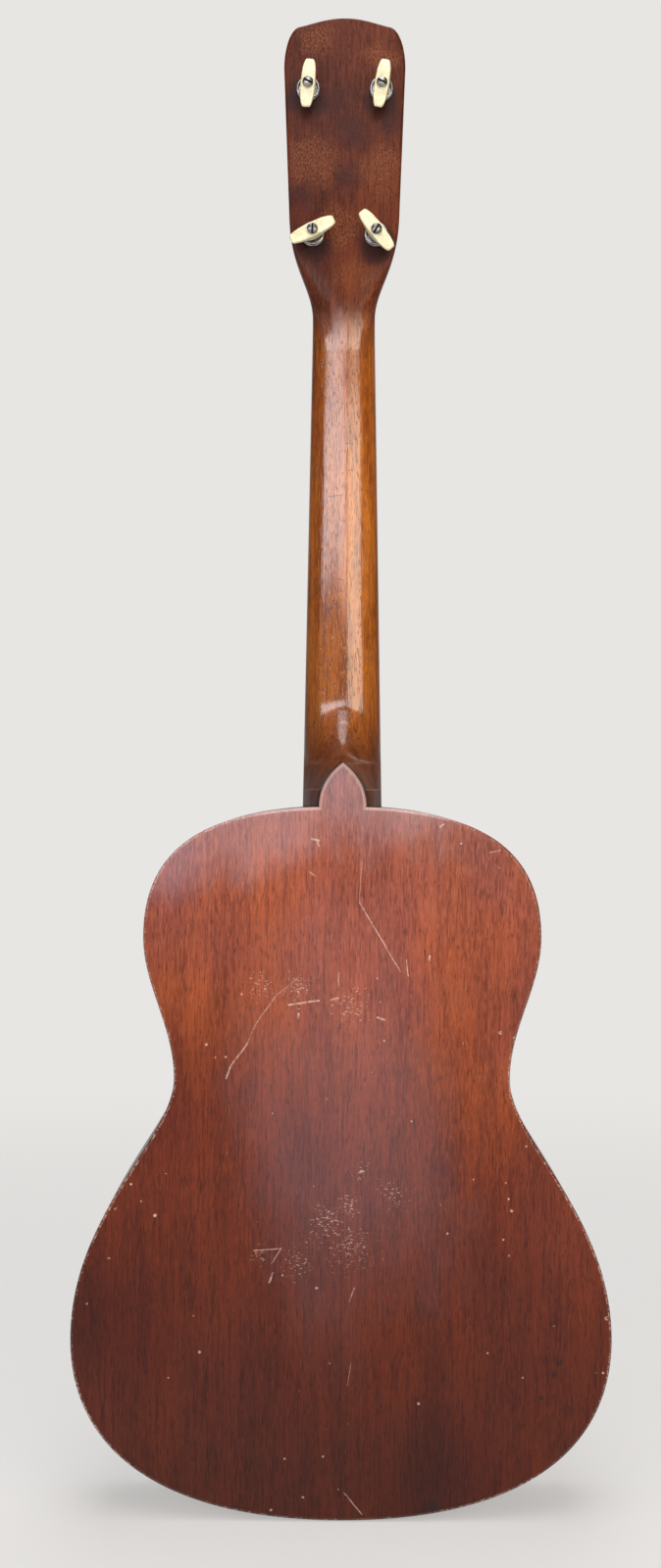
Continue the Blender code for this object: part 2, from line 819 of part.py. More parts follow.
def make_fretboard():
    slot_half = fret_tang_width / 2 + seat_gap
    floor_y = board_top_y - fret_tang_depth
    profile = [(board_y, nut_z), (board_y, board_end_z), (board_top_y, board_end_z)]
    for number in range(fret_count, 0, -1):
        z = nut_z - fret_distance(number)
        profile += [(board_top_y, z - slot_half), (floor_y, z - slot_half),
                    (floor_y, z + slot_half), (board_top_y, z + slot_half)]
    profile.append((board_top_y, nut_z))
    rings = [[(hand * board_half_width(z), y, z) for y, z in profile] for hand in (-1, 1)]
    add_part("fretboard", loft(rings, "fretboard"), rosewood)


def make_frets():
    tang_half = fret_tang_width / 2
    crown_steps = 6
    for number in range(1, fret_count + 1):
        middle = nut_z - fret_distance(number)
        profile = []
        for k in range(crown_steps + 1):
            turn = math.pi * k / crown_steps
            profile.append((fret_seat_y + fret_crown_height * math.sin(turn),
                            middle + fret_crown_width / 2 * math.cos(turn)))
        profile += [(fret_seat_y, middle - tang_half),
                    (fret_seat_y - fret_tang_depth, middle - tang_half),
                    (fret_seat_y - fret_tang_depth, middle + tang_half),
                    (fret_seat_y, middle + tang_half)]
        rings = []
        for hand in (-1, 1):
            ring = []
            for y, z in profile:
                chamfer = fret_end_slope * max(y - fret_seat_y, 0)
                ring.append((hand * (board_half_width(middle) - chamfer), y, z))
            rings.append(ring)
        add_part(f"fret_{number:02d}", loft(rings, "fret"), fret_metal)


def string_x(index, spread):
    return spread * (0.5 - index / (len(string_names) - 1))


def make_nut():
    front_z, rear_z = nut_z + seat_gap, nut_z + nut_thickness
    crest_y = string_low_at_nut_y + max(string_diameters) / 2
    profile = ((board_y, front_z), (crest_y, front_z), (crest_y, front_z + nut_crest_length),
               (crest_y - nut_fall, rear_z), (board_y, rear_z))
    half = neck_width_at_nut / 2
    mesh = loft([[(x, y, z) for y, z in profile] for x in (-half, half)], "nut")
    for index, diameter in enumerate(string_diameters):
        x = string_x(index, string_spread_at_nut)
        reach = diameter / 2 + seat_gap
        top = crest_y + cut_margin
        slot_y = string_low_at_nut_y - seat_gap
        rings = []
        for z, floor in ((nut_z - cut_margin, slot_y), (nut_z + nut_slot_flat, slot_y),
                         (rear_z + cut_margin, slot_y - nut_fall)):
            rings.append([(x - reach, floor, z), (x + reach, floor, z),
                          (x + reach, top, z), (x - reach, top, z)])
        mesh = combined(mesh, loft(rings, "nut_slot"))
    add_part("nut", mesh, bone)


# Bridge, saddle and strings


def make_bridge():
    half, crest = bridge_width / 2, bridge_crest_width / 2
    front_z = saddle_z + bridge_ahead_of_saddle
    rear_z = front_z - bridge_length
    near_reach, far_reach = (crest + reach * (half - crest) for reach in bridge_wing_reach)
    wing = bezier((crest, bridge_height), (near_reach, bridge_wing_height + bridge_wing_fillet),
                  (far_reach, bridge_wing_height), (half, bridge_wing_height), 6)
    right = [(half, 0), *wing[::-1]]
    profile = right + [(-x, height) for x, height in reversed(right)]
    mesh = loft([[(x, board_y + height, z) for x, height in profile] for z in (rear_z, front_z)],
                "bridge")
    mesh = softened(mesh, bridge_edge_bevel)
    top_y = board_y + 2 * bridge_height
    shelf = box((-half, half), (board_y + bridge_shelf_height, top_y),
                (rear_z - bridge_length, rear_z + bridge_shelf_length))
    mesh = combined(mesh, shelf)
    slot_half = saddle_thickness / 2 + seat_gap
    saddle_slot = box((-saddle_width / 2 - seat_gap, saddle_width / 2 + seat_gap),
                      (board_y + bridge_height - saddle_slot_depth, top_y),
                      (saddle_z - slot_half, saddle_z + slot_half))
    mesh = combined(mesh, saddle_slot)
    pocket_start = rear_z + string_pocket_from_rear
    for index, diameter in enumerate(string_diameters):
        x = string_x(index, string_spread_at_saddle)
        reach = diameter / 2 + seat_gap
        slot = box((x - reach, x + reach), (face_y - bridge_height, top_y),
                   (rear_z - cut_margin, saddle_z - slot_half - string_slot_wall))
        pocket = box((x - string_pocket_width / 2, x + string_pocket_width / 2),
                     (face_y - bridge_height, board_y + string_pocket_height),
                     (pocket_start, pocket_start + string_pocket_length))
        mesh = combined(combined(mesh, slot), pocket)
    add_part("bridge", mesh, rosewood)


def make_saddle():
    radius = saddle_thickness / 2
    floor = board_y + bridge_height - saddle_slot_depth + seat_gap
    profile = [(floor, saddle_z - radius), (floor, saddle_z + radius)]
    crown_steps = 6
    for k in range(crown_steps + 1):
        turn = math.pi * k / crown_steps
        profile.append((saddle_top_y - radius + radius * math.sin(turn),
                        saddle_z + radius * math.cos(turn)))
    half = saddle_width / 2
    rings = [[(x, y, z) for y, z in profile] for x in (-half, half)]
    add_part("saddle", softened(loft(rings, "saddle"), saddle_bevel), bone)


def bridge_end_route(x, radius):
    # From the knot in its pocket up the slot and over the rounded saddle, as (point, swell)
    bend = saddle_thickness / 2 + seat_gap + radius
    centre_y = saddle_top_y - saddle_thickness / 2
    arc = []
    for degrees in (135, 120, 105, 90):
        turn = math.radians(degrees)
        arc.append((x, centre_y + bend * math.sin(turn), saddle_z + bend * math.cos(turn)))
    knot_y = board_y + knot_height
    drop = arc[0][1] - knot_y - knot_spacing
    slope_end = (x, arc[0][1] - drop, arc[0][2] - drop)
    knot = []
    for step, swell in enumerate(knot_swells, start=1):
        knot.append(((x, knot_y, slope_end[2] - step * knot_spacing), swell))
    return knot[::-1] + [(slope_end, 1.0)] + [(point, 1.0) for point in arc]


def winding_route(index, radius, nut_point):
    # From the tangent point on the post's inner side, round and up towards the cross hole
    post_x, post_z = peg_places[string_names[index]]
    hand = 1 if post_x > 0 else -1
    coil = barrel_diameter / 2 + seat_gap + radius
    across, along = post_x - nut_point[0], post_z - nut_point[2]
    distance = math.hypot(across, along)
    heading = math.atan2(along, across) + hand * math.asin(coil / distance)
    start = heading + hand * math.pi / 2
    pitch = 2 * radius + winding_clearance
    low_y = barrel_y + seat_gap + radius
    points = []
    for k in range(winding_turns * winding_steps_per_turn + 1):
        turns = k / winding_steps_per_turn
        angle = start - hand * 2 * math.pi * turns
        points.append((post_x + coil * math.cos(angle), low_y + pitch * turns,
                       post_z + coil * math.sin(angle)))
    return points


def least_winding_gap(points, diameter):
    # Between points at least half a turn apart along the winding
    places = np.array(points)
    half_turn = winding_steps_per_turn // 2
    apart = [np.linalg.norm(places[k + half_turn:] - places[k], axis=1).min()
             for k in range(len(places) - half_turn)]
    return min(apart) - diameter


def make_strings():
    for index, (name, diameter) in enumerate(zip(string_names, string_diameters)):
        radius = diameter / 2
        route = bridge_end_route(string_x(index, string_spread_at_saddle), radius)
        nut_x = string_x(index, string_spread_at_nut)
        nut_point = (nut_x, string_low_at_nut_y + radius, nut_z + nut_slot_flat)
        winding = winding_route(index, radius, nut_point)
        route += [((nut_x, nut_point[1], nut_z), 1.0), (nut_point, 1.0)]
        route += [(point, 1.0) for point in winding]
        curve = bpy.data.curves.new(f"string_{name}", "CURVE")
        curve.dimensions = "3D"
        curve.bevel_depth = radius
        curve.bevel_resolution = 1
        curve.use_fill_caps = True
        spline = curve.splines.new("POLY")
        spline.points.add(len(route) - 1)
        for point, (place, swell) in zip(spline.points, route):
            point.co = (*place, 1)
            point.radius = swell
        add_part(f"string_{name}", curve, nylon)
        gap = least_winding_gap(winding, diameter)
        print(f"string_{name}: least gap between its turns {gap * 1000:.2f} mm")


# Friction pegs, modelled along Y about their own axis


def post_mesh():
    shaft, barrel = shaft_diameter / 2, barrel_diameter / 2
    flange = post_flange_diameter / 2
    bore = screw_diameter / 2 + seat_gap
    cap_y = barrel_y + barrel_length
    profile = [(0, shaft_end_y), (shaft, shaft_end_y), (shaft, flange_y), (flange, flange_y),
               (flange, barrel_y - post_flange_bevel), (flange - post_flange_bevel, barrel_y),
               (barrel, barrel_y), (barrel, cap_y), (shaft, cap_y + post_cap_step)]
    profile += [(shaft * out, cap_y + post_cap_length * up) for out, up in post_cap_shape]
    mesh = turned(profile, peg_sides, "post")
    half = tang_width / 2
    tang = box((-half, half), (tang_end_y, shaft_end_y + cut_margin), (-half, half))
    mesh = combined(mesh, tang, "UNION")
    screw_hole = rod((0, tang_end_y - cut_margin, 0), (0, screw_end_y + seat_gap, 0),
                     bore, bore_sides)
    reach = shaft + cut_margin
    string_hole = rod((0, post_hole_y, -reach), (0, post_hole_y, reach),
                      post_hole_diameter / 2, string_hole_sides)
    return combined(combined(mesh, screw_hole), string_hole)


def collar_mesh():
    # A shallow cup, open towards the button, with a rolled rim
    outer = collar_diameter / 2
    bore = shaft_diameter / 2 + seat_gap
    inner = outer - collar_wall
    groove = outer - collar_groove_depth
    band_y = collar_seat_y - collar_band
    rim = collar_wall / 3
    profile = ((bore, collar_seat_y), (outer, collar_seat_y), (outer, band_y),
               (groove, band_y - collar_step), (groove, collar_rim_y + 2 * collar_step),
               (outer, collar_rim_y + collar_step), (outer - rim, collar_rim_y),
               (inner + rim, collar_rim_y), (inner, collar_rim_y + collar_step),
               (inner, collar_seat_y - collar_floor), (bore, collar_seat_y - collar_floor))
    return turned(profile, collar_sides, "collar")


def button_mesh():
    # Lofted up from an oval boss to a long lens with blunt ends, then bored for its screw
    wing, half = button_length / 2, button_width / 2
    levels = [(0.0, button_boss_length / 2, button_base_share * half)]
    levels += [(share, long * wing, wide * half) for share, long, wide in button_shape]
    rings = []
    for share, length, width in levels:
        reach = min(length / wing, 1)
        power = button_boss_power + (button_wing_power - button_boss_power) * reach
        narrowing = button_end_narrowing * reach
        ring = []
        for k in range(button_sides):
            angle = 2 * math.pi * k / button_sides
            x, z = (math.copysign(abs(part) ** power, part)
                    for part in (math.cos(angle), math.sin(angle)))
            ring.append((length * x, button_base_y - share * button_height,
                         width * z * (1 - narrowing * x * x)))
        rings.append(ring)
    mesh = loft(rings, "button")
    bore = rod((0, button_top_y - cut_margin, 0), (0, button_base_y + cut_margin, 0),
               screw_diameter / 2 + seat_gap, bore_sides)
    socket_half = tang_width / 2 + seat_gap
    socket = box((-socket_half, socket_half), (tang_end_y - seat_gap, button_base_y + cut_margin),
                 (-socket_half, socket_half))
    return combined(combined(mesh, bore), socket)


def screw_mesh():
    shank, head = screw_diameter / 2, screw_head_diameter / 2
    dome = screw_head_height - screw_head_rim
    profile = [(0, screw_end_y), (screw_point_diameter / 2, screw_end_y),
               (shank, screw_end_y - screw_point_length), (shank, screw_seat_y),
               (head, screw_seat_y)]
    dome_steps = 4
    for k in range(dome_steps + 1):
        turn = 0.5 * math.pi * k / dome_steps
        profile.append((head * math.cos(turn),
                        screw_seat_y - screw_head_rim - dome * math.sin(turn)))
    mesh = turned(profile, peg_sides, "screw")
    top_y = screw_seat_y - screw_head_height
    slot = box((-screw_head_diameter, screw_head_diameter),
               (top_y - cut_margin, top_y + screw_slot_depth),
               (-screw_slot_width / 2, screw_slot_width / 2))
    return combined(mesh, slot)


def make_pegs():
    post, collar, button, screw = post_mesh(), collar_mesh(), button_mesh(), screw_mesh()
    for name in string_names:
        x, z = peg_places[name]
        heading = -math.radians(button_headings[name])
        axis = bpy.data.objects.new(f"peg_axis_{name}", None)
        bpy.context.scene.collection.objects.link(axis)
        axis.location = (x, 0, z)
        axis.rotation_euler = (0, heading, 0)
        slot_turn = -math.radians(slot_headings[name]) - heading
        add_part(f"collar_{name}", collar, nickel, location=(x, 0, z))
        add_part(f"post_{name}", post, nickel, parent=axis)
        add_part(f"button_{name}", button, cream, parent=axis)
        add_part(f"screw_{name}", screw, steel, parent=axis, turn_about_y=slot_turn)


def main():
    for item in list(bpy.data.objects):
        bpy.data.objects.remove(item)
    make_top_plate()
    make_back_plate()
    make_sides()
    make_blocks()
    make_linings()
    make_braces()
    make_bridge_patch()
    make_soundhole_ring()
    make_neck()
    make_dowel()
    make_fretboard()
    make_frets()
    make_nut()
    make_bridge()
    make_saddle()
    make_strings()
    make_pegs()


main()
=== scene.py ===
from functools import partial
import math

import bmesh
import bpy
import numpy as np
from mathutils import Matrix, Vector


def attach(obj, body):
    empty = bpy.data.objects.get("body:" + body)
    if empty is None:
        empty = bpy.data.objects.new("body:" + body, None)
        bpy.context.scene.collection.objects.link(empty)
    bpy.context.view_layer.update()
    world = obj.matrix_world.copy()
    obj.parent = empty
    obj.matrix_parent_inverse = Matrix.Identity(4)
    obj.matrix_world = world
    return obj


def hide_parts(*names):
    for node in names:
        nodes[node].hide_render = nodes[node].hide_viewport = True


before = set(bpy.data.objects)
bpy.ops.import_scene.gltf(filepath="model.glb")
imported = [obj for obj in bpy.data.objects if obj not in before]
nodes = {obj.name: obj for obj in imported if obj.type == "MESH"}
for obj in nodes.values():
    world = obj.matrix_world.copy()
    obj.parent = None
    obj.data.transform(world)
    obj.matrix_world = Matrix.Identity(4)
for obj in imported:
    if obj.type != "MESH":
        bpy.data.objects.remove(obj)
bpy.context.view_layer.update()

# Tenor ukulele, back towards -Y, neck up along +Z. All lengths are metres.
scene = bpy.context.scene

# Levels that several pieces share, as the CAD has them
levels = {
    "scale": 0.432,
    "nutZ": -0.020,
    "bodyTopZ": -0.236,
    "bodyLength": 0.305,
    "faceY": 0.00875,  # soundboard and the neck's glued face
    "headFrontY": 0.00575,
    "headBackY": -0.00575,
    "depthAtNeck": 0.058,
    "depthAtTail": 0.066,
    "boardThickness": 0.004,
    "gap": 0.0003,
}
pegPlaces = {"g": (0.0142, 0.0195), "c": (0.0164, 0.0845), "e": (-0.0164, 0.0845),
             "a": (-0.0142, 0.0195)}
gap, faceY, nutZ, bodyTopZ = (levels[key] for key in ("gap", "faceY", "nutZ", "bodyTopZ"))
tailZ = bodyTopZ - levels["bodyLength"]
saddleZ = nutZ - levels["scale"]
boardTopY = faceY + gap + levels["boardThickness"]


def fretZ(number):
    return nutZ - levels["scale"] * (1 - 2 ** (-number / 12))


def backY(z):
    share = min(max((bodyTopZ - z) / levels["bodyLength"], -0.1), 1)
    deeper = (levels["depthAtTail"] - levels["depthAtNeck"]) * share
    return faceY - levels["depthAtNeck"] - deeper


def addObject(name, data):
    made = bpy.data.objects.new(name, data)
    scene.collection.objects.link(made)
    return made


def turned(degrees, axis):
    return Matrix.Rotation(math.radians(degrees), 4, axis)


# Camera and studio
cameraSet = {
    "place": (-0.0053, -1.103, -0.2263),
    "lens": 56.25,
    "sensor": 36,
    "clip": (0.05, 60),
    "rollDegrees": 0.2,
}
studio = {
    "floorZ": tailZ - 0.0004,
    "floorRadius": 14.0,
    "floorTones": ((0.80, 0.79, 0.77), (0.78, 0.77, 0.75)),
    "backdrop": (0.80, 0.79, 0.77),
    "floorSeenTo": (0.16, 1.5),  # the floor fades into the backdrop between these distances
    "floorShare": 0.55,  # of the backdrop's own tone that the floor has near the instrument
    "ambient": 0.06,
    "reflected": (0.75, 1.0, 0.05, 0.5),  # towards +Y from, to; the backdrop's strength there
    # name: place, what it looks at, width, height, watts, colour
    "lamps": {
        "softboxLeft": ((-0.60, -1.16, 0.12), (0, 0, -0.06), 1.90, 0.22, 6.8, (1.0, 0.97, 1.0)),
        "softboxRight": ((0.66, -1.02, 0.03), (0, 0, -0.10), 0.90, 0.30, 4.4, (1.0, 0.89, 0.74)),
        "upperFront": ((0, -1.10, 0.62), (0, 0, -0.20), 0.72, 0.66, 4.1, (1.0, 0.98, 1.0)),
        "overhead": ((0, -0.12, 0.92), (0, -0.06, -0.2), 0.90, 1.86, 15.0, (1.0, 0.98, 1.0)),
        "frontFill": ((0.2, 1.5, 1.1), (0, 0, -0.25), 1.30, 1.30, 9.0, (1.0, 1.0, 1.0)),
    },
}


def makeCamera():
    data = bpy.data.cameras.new("photoCamera")
    data.lens = cameraSet["lens"]
    data.sensor_width = cameraSet["sensor"]
    data.clip_start, data.clip_end = cameraSet["clip"]
    scene.camera = addObject("photoCamera", data)
    scene.camera.matrix_world = (Matrix.Translation(cameraSet["place"]) @ turned(90, "X")
                                 @ turned(cameraSet["rollDegrees"], "Z"))


def makeLamps():
    for name, (place, target, width, height, watts, tone) in studio["lamps"].items():
        data = bpy.data.lights.new(name, "AREA")
        data.shape = "RECTANGLE"
        data.size, data.size_y = width, height
        data.energy = watts
        data.color = tone
        lamp = addObject(name, data)
        lamp.location = place
        aim = Vector(target) - Vector(place)
        lamp.rotation_euler = aim.to_track_quat("-Z", "Y").to_euler()


# Putting materials together


class Output:
    # A node's output; + - * and | (the larger of the two) put a Math node behind it
    def __init__(self, tree, socket):
        self.tree, self.socket = tree, socket

    def math(self, operation, other):
        return addNode(self.tree, "Math", {0: self, 1: other}, operation=operation)

    def __add__(self, other):
        return self.math("ADD", other)

    def __sub__(self, other):
        return self.math("SUBTRACT", other)

    def __mul__(self, other):
        return self.math("MULTIPLY", other)

    def __or__(self, other):
        return self.math("MAXIMUM", other)

    def vector(self, operation, other, output=0, key=1):
        return addNode(self.tree, "VectorMath", {0: self, key: other}, output, operation=operation)

    def distance(self, place):
        return self.vector("DISTANCE", place, "Value")

    def fade(self, low, high, bottom=0.0, top=1.0, kind="SMOOTHSTEP"):
        # bottom at low, top at high, and no further either side
        return addNode(self.tree, "MapRange", {"Value": self, "From Min": low, "From Max": high,
                                               "To Min": bottom, "To Max": top},
                       interpolation_type=kind)


def fillSocket(tree, socket, value):
    # The value is a node's output, a number, or a tuple; colours are given without alpha
    if isinstance(value, Output):
        tree.links.new(value.socket, socket)
    else:
        socket.default_value = (*value, 1.0) if socket.type == "RGBA" else value


def addNode(tree, kind, inputs, output=0, **settings):
    made = tree.nodes.new("ShaderNode" + kind)
    for key, value in settings.items():
        setattr(made, key, value)
    for key, value in inputs.items():
        fillSocket(tree, made.inputs[key], value)
    return Output(tree, made.outputs[output])


class Finish:
    # A Principled material being built; most methods add nodes and return an output
    def __init__(self, name, coordinates="Object", **sockets):
        self.material = bpy.data.materials.new(name)
        self.material.use_nodes = True
        self.tree = self.material.node_tree
        self.shader = self.tree.nodes["Principled BSDF"]
        self.give(**sockets)
        self.add = partial(addNode, self.tree)
        self.here = self.add("TexCoord", {}, coordinates)

    def give(self, **sockets):
        # The shader's sockets, their names written with _ for a space
        for name, value in sockets.items():
            fillSocket(self.tree, self.shader.inputs[name.replace("_", " ")], value)
        return self.material

    def stretched(self, *scale):
        return self.add("Mapping", {"Vector": self.here, "Scale": scale})

    def noise(self, scale, detail=2.0, roughness=0.5, distortion=0.0, stretch=None, output=0):
        place = self.stretched(*stretch) if stretch else self.here
        return self.add("TexNoise", {"Vector": place, "Scale": scale, "Detail": detail,
                                     "Roughness": roughness, "Distortion": distortion}, output)

    def mix(self, share, a, b, blend="MIX"):
        return self.add("Mix", {0: share, 6: a, 7: b}, 2, data_type="RGBA", blend_type=blend)

    def ramp(self, value, stops):
        made = self.add("ValToRGB", {})
        low, high = stops[0][0], stops[-1][0]
        elements = made.socket.node.color_ramp.elements
        while len(elements) < len(stops):
            elements.new(0.5)
        for element, (place, tone) in zip(elements, stops):
            element.position = (place - low) / (high - low)
            element.color = (*tone, 1)
        fillSocket(self.tree, made.socket.node.inputs[0], value.fade(low, high, kind="LINEAR"))
        return made

    def axis(self, name):
        return self.add("SeparateXYZ", {"Vector": self.here}, name)

    def attribute(self, name):
        return self.add("Attribute", {}, "Fac", attribute_name=name)

    def bump(self, height, distance=1.0):
        return self.add("Bump", {"Height": height, "Distance": distance})


def warped(finish, scale, distance):
    # The place pushed about by noise, so that patches laid there get uneven edges
    drift = finish.noise(scale, 3.0, output="Color").vector("SUBTRACT", (0.5, 0.5, 0.5))
    return finish.here.vector("ADD", drift.vector("SCALE", distance, key="Scale"))


def strongest(masks):
    # Takes the masks one at a time, so the render engine holds few of them at once
    total = next(masks)
    for mask in masks:
        total = total | mask
    return total


def spots(finish, patches, soft, place=None):
    # 1 inside round patches (x, z, radius) in the object's own XZ plane, 0 outside
    def spot(x, z, radius):
        flat = (place or finish.here).vector("MULTIPLY", (1, 0, 1))
        return flat.distance((x, 0, z)).fade(radius * soft, radius, 1.0, 0.0)

    return strongest(spot(*patch) for patch in patches)


def lineGroup():
    # The mask of a scratch: start and run in XZ, its half width, and 1 / run length squared
    group = bpy.data.node_groups.new("scratchLine", "ShaderNodeTree")
    names = {"Place": "Vector", "Start": "Vector", "Run": "Vector", "Per Square": "Float",
             "Width": "Float"}
    for name, kind in names.items():
        group.interface.new_socket(name, in_out="INPUT", socket_type="NodeSocket" + kind)
    group.interface.new_socket("Mask", in_out="OUTPUT", socket_type="NodeSocketFloat")
    given = group.nodes.new("NodeGroupInput").outputs
    result = group.nodes.new("NodeGroupOutput")
    place, start, run, perSquare, width = (Output(group, given[name]) for name in names)
    off = place.vector("SUBTRACT", start)
    share = off.vector("DOT_PRODUCT", run, "Value") * perSquare
    share.socket.node.use_clamp = True
    apart = off.distance(run.vector("SCALE", share, key="Scale"))
    fillSocket(group, result.inputs["Mask"],
               apart.math("DIVIDE", width).fade(1.0, 0.4, kind="LINEAR"))
    return group


scratchLine = lineGroup()


def scratches(finish, lines, wander=0.0006):
    # The strongest of several scratches, each (start, end, half width, strength)
    place = warped(finish, 220.0, wander).vector("MULTIPLY", (1, 0, 1))

    def scratch(start, end, width, strength):
        run = Vector((end[0] - start[0], 0, end[1] - start[1]))
        return finish.add("Group", {"Place": place, "Start": (start[0], 0, start[1]), "Run": run,
                                    "Per Square": 1 / max(run.length_squared, 1e-9),
                                    "Width": width}, node_tree=scratchLine) * strength

    broken = strongest(scratch(*line) for line in lines)
    return broken * finish.noise(700.0, 4.0, 0.75).fade(0.40, 0.58, 0.25, 1.0)


# Mahogany: ribbons, fibres and pores along Z, from which every lacquered piece starts
bodyGrain = {
    "ribbonTones": ((0.80, 0.78, 0.82), (1.19, 1.20, 1.14)),
    "ribbonScale": 88.0,
    "ribbonStretch": 0.10,
    "streakTone": (0.50, 0.42, 0.46),
    "streakScale": 850.0,
    "streakStretch": 0.035,
    "streakShare": 0.80,
    "fibreTone": (1.55, 1.75, 1.70),
    "fibreScale": 1500.0,
    "fibreStretch": 0.11,
    "fibreShare": 0.60,
    "poreTone": (0.25, 0.24, 0.30),
    "poreScale": 1900.0,
    "poreStretch": 0.13,
    "poreShare": 0.60,
    "poreFade": (0.57, 0.67),
    "fibreHeight": 0.35,  # against the pores' depth
}


def mahogany(finish, look, tone):
    # The tone's colour with ribbons, fibres and pores in it, and the wood's height for bump
    def along(kind, detail, *more):
        return finish.noise(look[kind + "Scale"], detail, *more,
                            stretch=(1, 1, look[kind + "Stretch"]))

    ribbons, streaks = along("ribbon", 3.0, 0.55, 0.3), along("streak", 3.0, 0.6)
    fibres = along("fibre", 2.0, 0.6)
    pores = along("pore", 2.0, 0.55).fade(*look["poreFade"])
    grain = finish.mix(ribbons.fade(0.34, 0.66), *look["ribbonTones"])
    grain = finish.mix(streaks.fade(0.42, 0.70, 0.0, look["streakShare"]), grain,
                       look["streakTone"])
    grain = finish.mix(fibres.fade(0.42, 0.72, 0.0, look["fibreShare"]), grain, look["fibreTone"])
    grain = finish.mix(pores * look["poreShare"], grain, look["poreTone"])
    height = fibres * look["fibreHeight"] - pores
    return finish.mix(1.0, tone, grain, "MULTIPLY"), height


